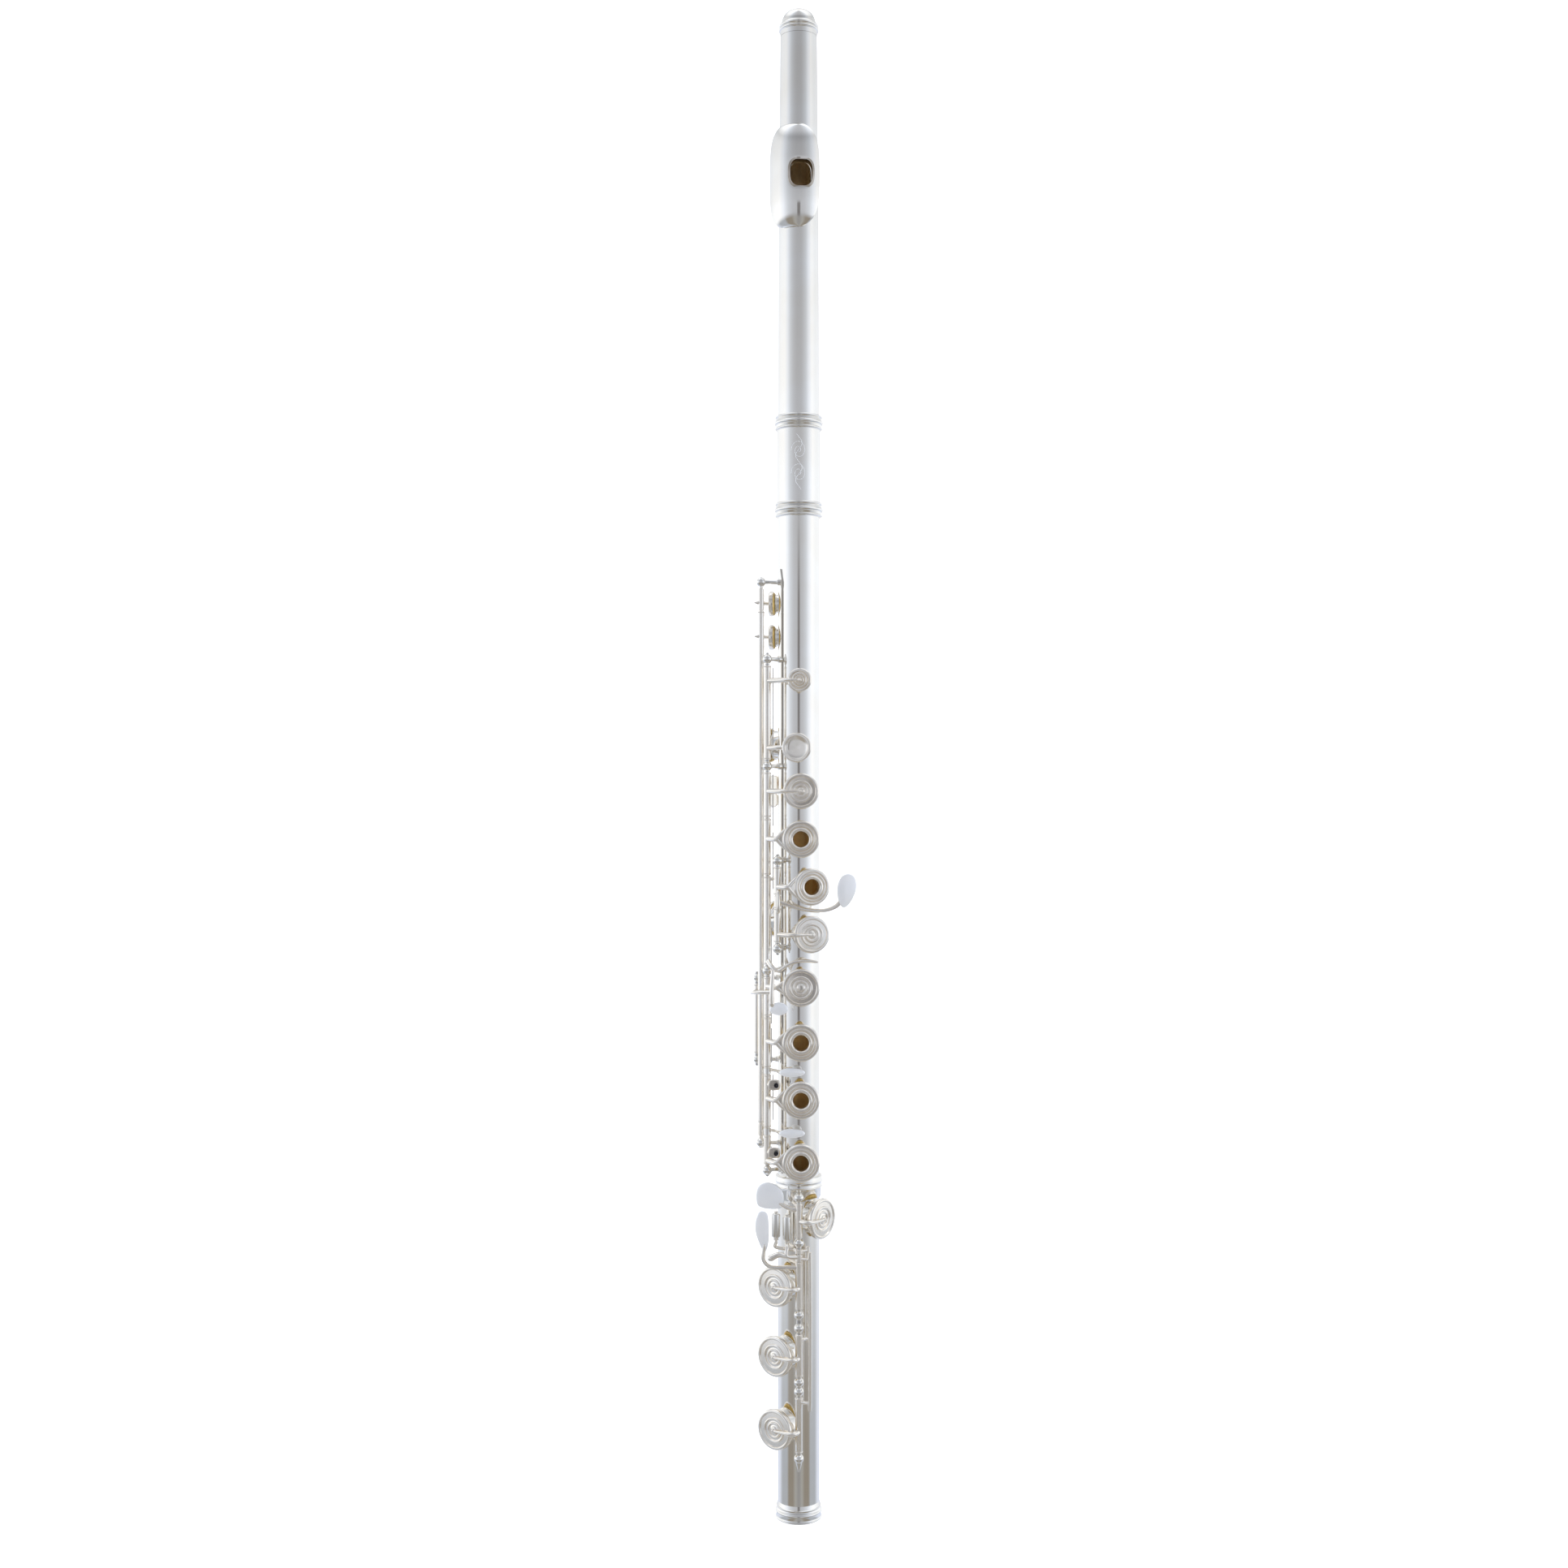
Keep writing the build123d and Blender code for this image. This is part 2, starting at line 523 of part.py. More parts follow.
def foot_c_key():
    """Roller lever, bypass bar and the C cup."""
    low, high = 71.2, 91.2
    (x, y), bottom, top = C_ROLLER
    cup = lifted(cup_on_arm(FOOT_C, 9.6, FOOT_ROD, "pointed"), FOOT_ROD, OPEN_FOOT)
    collar = hinge_tube(FOOT_ROD, 129.0, 131.3)
    lever = bar([(*FOOT_ROD, 130.2), (-3.0, -11.9, 130.5), (x, y + 1.2, 131.6), (x, y, 134.0)],
                [1.1, 0.85, 0.85, 0.9])
    pin = rod(0.6, 133.0, top + 0.8, (x, y)) + Pos(x, y, top + 0.7) * Cylinder(1.0, 0.7)
    bypass = bar([(*FOOT_ROD, 130.1), (4.4, -12.2, 130.1), (4.4, -12.2, 88.6), (*FOOT_ROD, 88.6)],
                 [0.85, 0.85, 0.85, 0.85])
    seat_ring = ring(1.2, 0.5, bottom - 1.4, bottom - 0.3, (x, y))
    key = cup + collar + lever + pin + bypass + seat_ring + hinge_tube(FOOT_ROD, low, high)
    key = drill(key, FOOT_ROD, low, 133.0)
    return key, lifted(pad_on(FOOT_C, 9.6, "pointed"), FOOT_ROD, OPEN_FOOT)


def foot_b_key():
    """Roller lever, the small high-C spatula, bypass bar and the B cup."""
    low, high = 35.4, 61.6
    (x, y), bottom, top = B_ROLLER
    cup = lifted(cup_on_arm(FOOT_B, 9.6, FOOT_ROD, "pointed"), FOOT_ROD, OPEN_FOOT)
    collar = hinge_tube(FOOT_ROD, 125.4, 128.7)
    lever = bar([(*FOOT_ROD, 127.5), (x, y - 2.4, 128.4), (x, y - 2.0, 132.0), (x, y, 133.8)],
                [1.25, 0.95, 0.85, 1.0])
    pin = rod(0.6, 133.0, top + 0.8, (x, y)) + Pos(x, y, top + 0.7) * Cylinder(1.0, 0.7)
    spatula = bar([(x - 0.6, y - 2.4, 128.5), (-9.6, -17.2, 129.2), (-13.2, -17.0, 127.6)], [1.1, 1.3, 1.65])
    bypass = bar([(*FOOT_ROD, 126.6), (5.2, -16.6, 126.6), (5.2, -16.6, 59.4), (*FOOT_ROD, 59.4)],
                 [0.85, 0.85, 0.85, 0.85])
    seat_ring = ring(1.2, 0.5, bottom - 1.4, bottom - 0.3, (x, y))
    key = cup + collar + lever + pin + spatula + bypass + seat_ring + hinge_tube(FOOT_ROD, low, high)
    key = drill(key, FOOT_ROD, low, 133.0)
    return key, lifted(pad_on(FOOT_B, 9.6, "pointed"), FOOT_ROD, OPEN_FOOT)


# ---------------------------------------------------------------- posts, rods, ribs and springs
def post(hinge, z, base_angle, base_r, bore=ROD_R, ball_r=BALL_R):
    """A ball-topped pillar from the tube to a hinge rod."""
    foot = around(base_angle, base_r - 0.6)
    stem = bar([(*foot, z), (*hinge, z)], [1.25, 0.95])
    ball = Pos(*hinge, z) * Sphere(ball_r)
    lean = Vector(hinge[0] - foot[0], hinge[1] - foot[1], 0)
    flange = Plane(origin=(*foot, z), z_dir=lean).location * Cylinder(1.5, 2.6)
    shape = stem + ball + flange - rod(base_r, z - 6, z + 6)
    return shape - rod(bore, z - 6, z + 6, hinge)


def rib():
    """The strap soldered along the body under the posts, with a tapered tip."""
    low, high = SOCKET_TOP + 1.5, 452.0
    strip = Pos(0, 0, (low + high) / 2) * Rot(0, 0, 270 - RIB_TO) * revolve(
        Plane.XZ * Pos((RIB_R + TUBE_R) / 2, 0) * Rectangle(RIB_R - TUBE_R, high - low), Axis.Z,
        revolution_arc=RIB_TO - RIB_FROM)
    tip = Plane(origin=(*around(57, 10), high), x_dir=(0, 0, 1), z_dir=(*around(57, 1), 0)).location
    for side in (1, -1):
        cut = make_face(Polyline((0.1, 0), (-9, side * 2), (0.1, side * 2), close=True))
        strip = strip - tip * Pos(0, 0, -2) * extrude(cut, 4)
    return strip


def body_posts():
    posts = [post(MAIN_ROD, z, 57, RIB_R) for z in MAIN_POSTS]
    posts += [post(G_ROD, z, 52, RIB_R) for z in G_POSTS]
    posts += [post(TRILL_ROD, z, 58, RIB_R, ROD_R + FIT) for z in TRILL_POSTS]
    posts += [post(BFLAT_ROD, z, 84, TUBE_R, ball_r=1.75) for z in BFLAT_POSTS]
    posts += [post(THUMB_ROD, z, 165, TUBE_R) for z in THUMB_POSTS]
    spacers = [Pos(*MAIN_ROD, 0) * ring(HINGE_R, ROD_R, low, high) for low, high in SPACERS]
    return posts + spacers


def foot_posts():
    posts = [post(FOOT_ROD, FOOT_POSTS[0], 0, 10.6)]
    posts += [post(FOOT_ROD, z, 0, TUBE_R) for z in FOOT_POSTS[1:-1]]
    last = post(FOOT_ROD, FOOT_POSTS[-1], 0, TUBE_R)
    cap = Pos(*FOOT_ROD, FOOT_POSTS[-1] - 4.0) * Rot(180, 0, 0) * Cone(1.5, 0.4, 4.6)
    return posts + [last + cap - rod(ROD_R, 31.0, 40.0, FOOT_ROD)]


def body_rods():
    return [rod(ROD_R, MAIN_POSTS[-1] - 2.2, MAIN_POSTS[0] + 2.2, MAIN_ROD),
            rod(ROD_R, G_POSTS[1] - 2.2, G_POSTS[0] + 2.2, G_ROD),
            rod(ROD_R, BFLAT_POSTS[1] - 2.2, BFLAT_POSTS[0] + 2.2, BFLAT_ROD),
            rod(ROD_R, THUMB_POSTS[1] - 2.2, THUMB_POSTS[0] + 2.2, THUMB_ROD)]


def needle_springs():
    """Straight wires beside the main rod, each set in a post."""
    springs = []
    for place, (low, high) in ((0, (362.0, 405.0)), (0, (330.0, 354.5)), (1, (236.0, 258.0)),
                               (1, (217.5, 234.0)), (0, (190.5, 212.0)), (1, (170.0, 177.8)),
                               (0, (300.0, 327.0)), (1, (263.8, 281.0))):
        x, y = (-12.3, -6.3) if place == 0 else (-12.9, -5.2)
        springs.append(rod(0.28, low, high, (x, y)))
    return springs


def bumper_corks():
    """Small corks on the tube that stop the first finger's touch and the thumb plate."""
    touch = facing(367.0, 0) * Pos(0, 0, 10.5) * Cylinder(2.2, 3.0) - rod(TUBE_R, 360, 375)
    plate = facing(350.4, 128) * Pos(0, 0, 10.3) * Cylinder(2.0, 2.4) - rod(TUBE_R, 340, 360)
    return [touch, plate]


# ---------------------------------------------------------------- the whole flute
def keys():
    """Every one-cup key with its pad, by name."""
    made = {
        "b_key": sprung_key(B_HOLE, 8.45, MAIN_ROD, "pointed", 334.0, 355.6, -OPEN_MAIN),
        "a_key": sprung_key(A_HOLE, 8.75, MAIN_ROD, "open", 306.8, 333.7, -OPEN_MAIN),
        "f_sharp_key": sprung_key(F_SHARP, 8.9, MAIN_ROD, "plateau", 240.1, 258.8, -OPEN_MAIN, 2.4),
        "f_key": sprung_key(F_HOLE, 8.85, MAIN_ROD, "open", *F_SPAN, -OPEN_MAIN),
        "e_key": sprung_key(E_HOLE, 8.85, MAIN_ROD, "open", *E_SPAN, -OPEN_MAIN),
        "d_key": sprung_key(D_HOLE, 8.85, MAIN_ROD, "open", *D_SPAN, -OPEN_MAIN),
        "c_sharp_key": c_sharp_key(),
        "g_key": g_key(),
        "g_sharp_key": g_sharp_key(),
        "d_sharp_trill_key": d_sharp_trill_key(),
        "d_trill_key": d_trill_key(),
        "thumb_key": thumb_key(),
        "e_flat_key": e_flat_key(),
        "foot_c_sharp_key": foot_c_sharp_key(),
        "foot_c_key": foot_c_key(),
        "foot_b_key": foot_b_key(),
    }
    return made


def flute():
    """Every node's shape by its name."""
    nodes = {
        "foot_tube": bored_tube(0, FOOT_TOP - 0.4, FOOT_HOLES),
        "foot_socket": foot_socket() + foot_neck(),
        "foot_end_ring": end_ring(),
        "foot_posts": foot_posts(),
        "foot_rod": rod(ROD_R, FOOT_POSTS[-1] - 1.7, FOOT_POSTS[0] + 2.2, FOOT_ROD),
        "body_tube": bored_tube(BODY_BOTTOM, BODY_TOP, BODY_HOLES),
        "body_rib": rib(),
        "body_posts": body_posts(),
        "body_rods": body_rods(),
        "needle_springs": needle_springs(),
        "bumper_corks": bumper_corks(),
        "barrel": barrel(),
        "barrel_rings": [barrel_ring(BARREL_BOTTOM), barrel_ring(BARREL_TOP - 7.0)],
        "head_tube": head_tube(),
        "lip_plate": lip_plate(),
        "lip_riser": riser(),
        "crown": crown(),
        "b_flat_lever": b_flat_lever(),
        "split_e_lever": split_e_lever(),
        "c_roller": roller(*C_ROLLER),
        "b_roller": roller(*B_ROLLER),
    }
    nodes["head_cork"], nodes["cork_screw"] = cork_parts()
    for name, (key, its_pad) in keys().items():
        nodes[name] = key
        nodes[name.replace("_key", "_pad")] = its_pad
    for name, z, span in (("e_key", 208.0, E_SPAN), ("d_key", 176.0, D_SPAN)):
        nodes[name], nodes[name[0] + "_adjusting_screw"] = clutch_tab(nodes[name], MAIN_ROD, z, *span)
    return nodes


def solids_of(shape):
    """One compound of every solid in a shape or a list of shapes."""
    parts = shape if isinstance(shape, list) else [shape]
    return Compound(children=[solid for part in parts for solid in part.solids()])


os.makedirs("parts", exist_ok=True)
for name, shape in flute().items():
    node = solids_of(shape)
    node.label = name
    export_step(node, f"parts/{name}.step")
    print(name, len(node.solids()))
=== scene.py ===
import json
from math import acos, cos, pi, radians, sin, sqrt, tan

import bmesh
import bpy
from mathutils import Matrix, Vector


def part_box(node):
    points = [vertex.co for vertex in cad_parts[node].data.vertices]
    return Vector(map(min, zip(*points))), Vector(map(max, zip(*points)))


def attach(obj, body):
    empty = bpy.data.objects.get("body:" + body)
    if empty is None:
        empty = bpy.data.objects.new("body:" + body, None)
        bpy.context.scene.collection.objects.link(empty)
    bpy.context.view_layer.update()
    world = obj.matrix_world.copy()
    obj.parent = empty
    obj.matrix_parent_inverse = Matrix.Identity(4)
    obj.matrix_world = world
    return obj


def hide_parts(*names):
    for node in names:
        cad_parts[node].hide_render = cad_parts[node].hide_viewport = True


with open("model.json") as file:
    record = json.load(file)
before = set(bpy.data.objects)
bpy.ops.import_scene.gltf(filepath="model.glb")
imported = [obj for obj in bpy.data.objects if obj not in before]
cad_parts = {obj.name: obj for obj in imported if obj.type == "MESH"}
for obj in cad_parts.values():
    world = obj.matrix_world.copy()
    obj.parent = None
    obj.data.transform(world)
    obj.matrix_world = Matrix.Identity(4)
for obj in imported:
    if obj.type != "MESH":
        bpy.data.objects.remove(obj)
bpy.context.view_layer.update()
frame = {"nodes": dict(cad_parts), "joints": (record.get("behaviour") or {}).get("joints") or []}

# Lengths are in millimetres until a piece is made. The flute stands on its foot end, +Z up its bore,
# cups facing -Y and hinge rods on -X. Angles round the tube run from the front towards the rods.
MM = 0.001
ON_AXIS = 1e-6                   # a profile point nearer the axis than this is a pole
JOINTS = {j["name"]: j for j in frame["joints"]}
TUBE_R, BORE_R, WALL = 9.9, 9.5, 0.4
BARREL_R, SOCKET_R, RIB_R = 10.3, 10.6, 10.6
SEAT, SMALL_SEAT = 12.0, 11.1    # a tone hole's rim above the tube's axis
PAD_GAP = 0.1                    # pad to rim with the key closed
G_PAD_HALF = 8.15                # half the width of one of the linked G pads
HINGE_R, THIN_HINGE_R, BFLAT_HINGE_R, ROD_R = 1.7, 1.5, 1.4, 1.0
BALL_R, SMALL_BALL_R = 2.3, 1.75
FINGER_HOLE_R = 3.55
BLOW_ANGLE = -5.0
TENON_TOP, TENON_R, HEAD_TOP_R, TAPER_BOW = 532.0, 9.85, 8.75, 0.15
SMALL_TURN, TURN, CUP_TURN, TUBE_TURN = 32, 72, 96, 128    # sides of a turned part
CREASE, TUBE_CREASE = 38, 35     # an edge sharper than this, in degrees, is shaded sharp

# Cups: angle round the tube, cup radius, tone hole radius, rim height
CUPS = {
    "d_sharp_trill": (95, 6.0, 3.9, SMALL_SEAT), "d_trill": (95, 6.0, 3.9, SMALL_SEAT),
    "c_sharp": (-5, 5.7, 3.6, SMALL_SEAT), "thumb": (110, 8.5, 6.3, SEAT), "b": (-8, 8.45, 6.5, SEAT),
    "a": (-8, 8.75, 6.8, SEAT), "g": (-26, 8.75, 6.9, SEAT), "low_g": (-26, 8.75, 6.9, SEAT),
    "g_sharp": (128, 8.7, 6.9, SEAT), "f_sharp": (-8, 8.9, 7.0, SEAT), "f": (-8, 8.85, 7.0, SEAT),
    "e": (-8, 8.85, 7.0, SEAT), "d": (-8, 8.85, 7.0, SEAT), "e_flat": (-51, 9.6, 7.5, SEAT),
    "foot_c_sharp": (48, 9.6, 7.6, SEAT), "foot_c": (48, 9.6, 7.6, SEAT), "foot_b": (48, 9.6, 7.6, SEAT),
}
FOOT_KEYS = ("e_flat", "foot_c_sharp", "foot_c", "foot_b")


# ---- places taken from the frame
def box_mm(node):
    low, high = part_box(node)
    return low / MM, high / MM


def middle(node):
    low, high = box_mm(node)
    return (low + high) / 2


def hinge_of(key):
    """The X and Y of a key's hinge, from its joint."""
    x, y, _ = JOINTS[key + "_press"]["pos_m"]
    return (x / MM, y / MM)


def lift_of(key):
    """How far an open-standing key is turned away from its tone hole, in degrees about +Z."""
    joint = JOINTS[key + "_press"]
    return -joint["range_deg"][1] * joint["axis"][2]


def cup_height(key):
    """The height of a key's tone hole; the two linked G cups share one pad node."""
    low, high = box_mm("g_pad" if key == "low_g" else key + "_pad")
    if key == "g":
        return high.z - G_PAD_HALF
    if key == "low_g":
        return low.z + G_PAD_HALF
    return (low.z + high.z) / 2


# ---- frames and paths
def around(angle, distance):
    """X and Y of a point at this angle round the tube and this far from its axis."""
    return (-distance * sin(radians(angle)), -distance * cos(radians(angle)))


def basis(origin, x, y, z):
    """Matrix of a frame with this origin and these axes."""
    return Matrix.Translation(origin) @ Matrix((x, y, z)).transposed().to_4x4()


def facing(z, angle):
    """Matrix of a cup's frame: Z out of the tube, X up the tube, Y towards the rods."""
    out = Vector((*around(angle, 1.0), 0))
    up = Vector((0, 0, 1))
    across = out.cross(up)
    return basis((0, 0, z), up, across, out)


def over(key):
    """Matrix of the frame on a key's tone hole."""
    return facing(cup_height(key), CUPS[key][0])


def front(x, y, z):
    """Frame at a point for a touch drawn in X and Z."""
    return Matrix.Translation((x, y, z)) @ Matrix.Rotation(radians(90), 4, "X")


def in_frame(point, angle):
    """A point's Y and Z in the cup's frame at this angle."""
    a = radians(angle)
    return (-point[0] * cos(a) + point[1] * sin(a), -point[0] * sin(a) - point[1] * cos(a))


def about(hinge, degrees):
    """A turn about a vertical hinge line."""
    place = Matrix.Translation((*hinge, 0))
    return place @ Matrix.Rotation(radians(degrees), 4, "Z") @ place.inverted()


def arc(centre_r, centre_h, radius, start, end, steps=6):
    """Profile points on an arc, angles in degrees from the +radius direction."""
    turns = [radians(start + (end - start) * i / steps) for i in range(steps + 1)]
    return [(centre_r + radius * cos(t), centre_h + radius * sin(t)) for t in turns]


def curve_point(a, b, c, d, t):
    """A point of the Catmull-Rom curve between b and c."""
    return 0.5 * (2 * b + (c - a) * t + (2 * a - 5 * b + 4 * c - d) * t * t
                  + (3 * b - a - 3 * c + d) * t ** 3)


def smooth_path(points, radii, steps=7):
    """A Catmull-Rom curve through the points, with the radius blended along it."""
    pts = [Vector(p) for p in points]
    ends = [pts[0] * 2 - pts[1]] + pts + [pts[-1] * 2 - pts[-2]]
    path = []
    for i in range(len(pts) - 1):
        a, b, c, d = ends[i:i + 4]
        for s in range(steps):
            t = s / steps
            path.append((curve_point(a, b, c, d, t), radii[i] + (radii[i + 1] - radii[i]) * t))
    path.append((pts[-1], radii[-1]))
    return path


# ---- mesh building
def add_rings(bm, rings, slot=0):
    """Joins rings of points, in millimetres, into a closed skin; a ring of one point is a pole."""
    made = [[bm.verts.new(p * MM) for p in ring] for ring in rings]
    for low, high in zip(made, made[1:]):
        if len(low) == len(high) == 1:
            continue
        count = max(len(low), len(high))
        for i in range(count):
            j = (i + 1) % count
            if len(low) == 1:
                face = (low[0], high[j], high[i])
            elif len(high) == 1:
                face = (low[i], low[j], high[0])
            else:
                face = (low[i], low[j], high[j], high[i])
            bm.faces.new(face).material_index = slot


def add_lathe(bm, profile, place=Matrix(), segments=TURN, closed=True):
    """A solid turned about the frame's Z from (radius, height) points."""
    outline = list(profile)
    if closed and outline[0][0] > ON_AXIS:
        outline.append(outline[0])
    rings = []
    for r, h in outline:
        if r < ON_AXIS:
            rings.append([place @ Vector((0, 0, h))])
            continue
        turns = [2 * pi * i / segments for i in range(segments)]
        rings.append([place @ Vector((r * cos(t), r * sin(t), h)) for t in turns])
    add_rings(bm, rings)


def add_tube(bm, hinge, radius, low, high, place=Matrix(), segments=40):
    """A rod or hinge tube with eased ends."""
    ease = min(0.18, radius * 0.2)
    profile = [(0, low), (radius - ease, low), (radius, low + ease), (radius, high - ease),
               (radius - ease, high), (0, high)]
    add_lathe(bm, profile, place @ Matrix.Translation((*hinge, 0)), segments)


def add_ball(bm, centre, radius, place=Matrix(), segments=SMALL_TURN):
    rows = segments // 2
    profile = [(radius * sin(pi * i / rows), -radius * cos(pi * i / rows)) for i in range(rows + 1)]
    profile[0], profile[-1] = (0, -radius), (0, radius)
    add_lathe(bm, profile, place @ Matrix.Translation(centre), segments)


def add_arm(bm, points, radii, place=Matrix(), segments=20):
    """A cast arm: a round section swept along a smooth curve, with rounded ends."""
    path = smooth_path(points, radii)
    first, last = path[0], path[-1]
    ahead = (path[1][0] - first[0]).normalized()
    behind = (last[0] - path[-2][0]).normalized()
    cap = (0.25, 0.6, 1.0)
    start_cap = [(first[0] - ahead * first[1] * cos(t), first[1] * sin(t)) for t in cap]
    end_cap = [(last[0] + behind * last[1] * cos(t), last[1] * sin(t)) for t in reversed(cap)]
    path = start_cap + path + end_cap
    side = ahead.orthogonal().normalized()
    rings = []
    for i, (spot, radius) in enumerate(path):
        along = (path[min(i + 1, len(path) - 1)][0] - path[max(i - 1, 0)][0]).normalized()
        side = (side - along * side.dot(along)).normalized()
        other = along.cross(side)
        turns = [2 * pi * k / segments for k in range(segments)]
        rings.append([place @ (spot + side * radius * cos(t) + other * radius * sin(t)) for t in turns])
    rings = [[place @ (path[0][0])]] + rings + [[place @ (path[-1][0])]]
    add_rings(bm, rings)


def add_blade(bm, outline, thick, place, hollow=0.0, rows=5, slot=1):
    """A touch plate: a closed outline with a rounded rim and a slightly dished or crowned face."""
    count = len(outline)
    centre = Vector((sum(p[0] for p in outline) / count, sum(p[1] for p in outline) / count, 0))
    edge = [Vector((p[0], p[1], 0)) - centre for p in outline]
    reach = sum(e.length for e in edge) / count
    half = thick / 2
    levels = []
    for i in range(1, rows + 1):
        s = i / rows * (1 - half / reach)
        levels.append((s, half - hollow * (1 - (i / rows) ** 2)))
    round_edge = (0.4, 0.8, 1.2, 1.57, 1.95, 2.4, 2.8)
    rim = [(1 - half / reach + half / reach * sin(t), half * cos(t)) for t in round_edge]
    under = [(s, -half) for s, _ in reversed(levels)]
    rings = [[place @ (centre + Vector((0, 0, half - hollow)))]]
    for s, h in levels + rim + under:
        rings.append([place @ (centre + e * s + Vector((0, 0, h))) for e in edge])
    rings.append([place @ (centre + Vector((0, 0, -half)))])
    add_rings(bm, rings, slot)


def oval(length, width, taper=0.0, count=56):
    """A plain or egg-shaped outline; taper narrows its -X end."""
    turns = [2 * pi * i / count for i in range(count)]
    return [(length / 2 * cos(t), width / 2 * sin(t) * (1 + taper * cos(t))) for t in turns]


def rounded_loop(points, steps=8):
    """A closed Catmull-Rom loop through a few outline points."""
    pts = [Vector((p[0], p[1], 0)) for p in points]
    n = len(pts)
    loop = []
    for i in range(n):
        a, b, c, d = pts[i - 1], pts[i], pts[(i + 1) % n], pts[(i + 2) % n]
        for s in range(steps):
            t = s / steps
            spot = curve_point(a, b, c, d, t)
            loop.append((spot.x, spot.y))
    return loop


def shade(bm, crease):
    """Smooth shading, apart from edges sharper than the crease angle."""
    bmesh.ops.recalc_face_normals(bm, faces=bm.faces)
    for face in bm.faces:
        face.smooth = True
    for edge in bm.edges:
        if len(edge.link_faces) == 2 and edge.calc_face_angle(0) > radians(crease):
            edge.smooth = False


def put(name, data):
    """Adds an object to the scene."""
    obj = bpy.data.objects.new(name, data)
    bpy.context.scene.collection.objects.link(obj)
    return obj


def object_from(bm, name):
    mesh = bpy.data.meshes.new(name)
    bm.to_mesh(mesh)
    bm.free()
    return put(name, mesh)


def piece(bm, name, body, material, nodes=()):
    """Turns a mesh into a smooth-shaded piece that rides on a body."""
    shade(bm, CREASE)
    obj = object_from(bm, name)
    for each in material if isinstance(material, tuple) else (material,):
        obj.data.materials.append(each)
    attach(obj, body)
    if nodes:
        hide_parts(*nodes)
    return obj


# ---- materials
def fill(node, **values):
    """Sets the node's inputs; an underscore stands for a space."""
    for name, value in values.items():
        node.inputs[name.replace("_", " ")].default_value = value


def new_material(name, metallic, roughness):
    material = bpy.data.materials.new(name)
    material.use_nodes = True
    shader = material.node_tree.nodes["Principled BSDF"]
    fill(shader, Metallic=metallic, Roughness=roughness)
    return material, material.node_tree, shader


def noise(tree, scale, detail, stretch=(1, 1, 1)):
    """Noise in the object's own space, so that it stays put as a key moves."""
    coords = tree.nodes.new("ShaderNodeTexCoord")
    mapping = tree.nodes.new("ShaderNodeMapping")
    fill(mapping, Scale=stretch)
    texture = tree.nodes.new("ShaderNodeTexNoise")
    fill(texture, Scale=scale, Detail=detail)
    tree.links.new(coords.outputs["Object"], mapping.inputs["Vector"])
    tree.links.new(mapping.outputs["Vector"], texture.inputs["Vector"])
    return texture.outputs["Fac"]


def ramp(tree, value, stops):
    """A colour that runs through the stops as the value goes from 0 to 1."""
    node = tree.nodes.new("ShaderNodeValToRGB")
    while len(node.color_ramp.elements) < len(stops):
        node.color_ramp.elements.new(0.5)
    for element, (place, colour) in zip(node.color_ramp.elements, stops):
        element.position = place
        element.color = (*colour, 1)
    tree.links.new(value, node.inputs["Fac"])
    return node.outputs["Color"]


def paint(tree, shader, value, stops):
    tree.links.new(ramp(tree, value, stops), shader.inputs["Base Color"])


def scaled(tree, value, scale, offset):
    """The value times scale, plus offset."""
    node = tree.nodes.new("ShaderNodeMath")
    node.operation = "MULTIPLY_ADD"
    node.inputs[1].default_value = scale
    node.inputs[2].default_value = offset
    tree.links.new(value, node.inputs[0])
    return node.outputs[0]


def bump(tree, shader, value, strength, distance):
    node = tree.nodes.new("ShaderNodeBump")
    fill(node, Strength=strength, Distance=distance)
    tree.links.new(value, node.inputs["Height"])
    tree.links.new(node.outputs["Normal"], shader.inputs["Normal"])


def silver(name="silver_plate", metallic=1.0, light=(0.95, 0.935, 0.90), warm=(0.92, 0.89, 0.835),
           rough=(0.05, 0.12)):
    """Polished plate: cloudy change of colour and polish, faint buffing lines round the tube."""
    material, tree, shader = new_material(name, metallic, rough[0])
    clouds = noise(tree, 60, 3)
    paint(tree, shader, clouds, [(0.35, warm), (0.7, light)])
    lines = noise(tree, 900, 2, (1, 1, 0.08))
    tree.links.new(scaled(tree, lines, rough[1] - rough[0], rough[0]), shader.inputs["Roughness"])
    bump(tree, shader, clouds, 0.03, 0.00002)
    return material


def surface(name, metallic, roughness, grain, stops, relief=None):
    """A material coloured, and where asked also bumped, by one noise."""
    material, tree, shader = new_material(name, metallic, roughness)
    texture = noise(tree, *grain)
    paint(tree, shader, texture, stops)
    if relief:
        bump(tree, shader, texture, *relief)
    return material


def satin():
    """The finger touches' brushed faces, which scatter the white walls."""
    material, tree, shader = new_material("satin_touch", 0.66, 0.34)
    paint(tree, shader, noise(tree, 120, 3), [(0.35, (0.90, 0.92, 0.95)), (0.7, (0.97, 0.98, 1.0))])
    bump(tree, shader, noise(tree, 1600, 2, (1, 1, 0.05)), 0.12, 0.00002)
    return material


SILVER, SATIN = silver(), satin()
# The chimney's wall under the lip, in darker silver: painted shade under the plate
SHADED = surface("shaded_silver", 1.0, 0.22, (200, 4),
                 [(0.35, (0.52, 0.46, 0.38)), (0.7, (0.74, 0.68, 0.60))])
KEY_SILVER = silver("key_silver", 0.93, (0.965, 0.93, 0.88), (0.94, 0.885, 0.80), (0.07, 0.16))
KEY = (KEY_SILVER, SATIN)        # slot 1 is for the touches
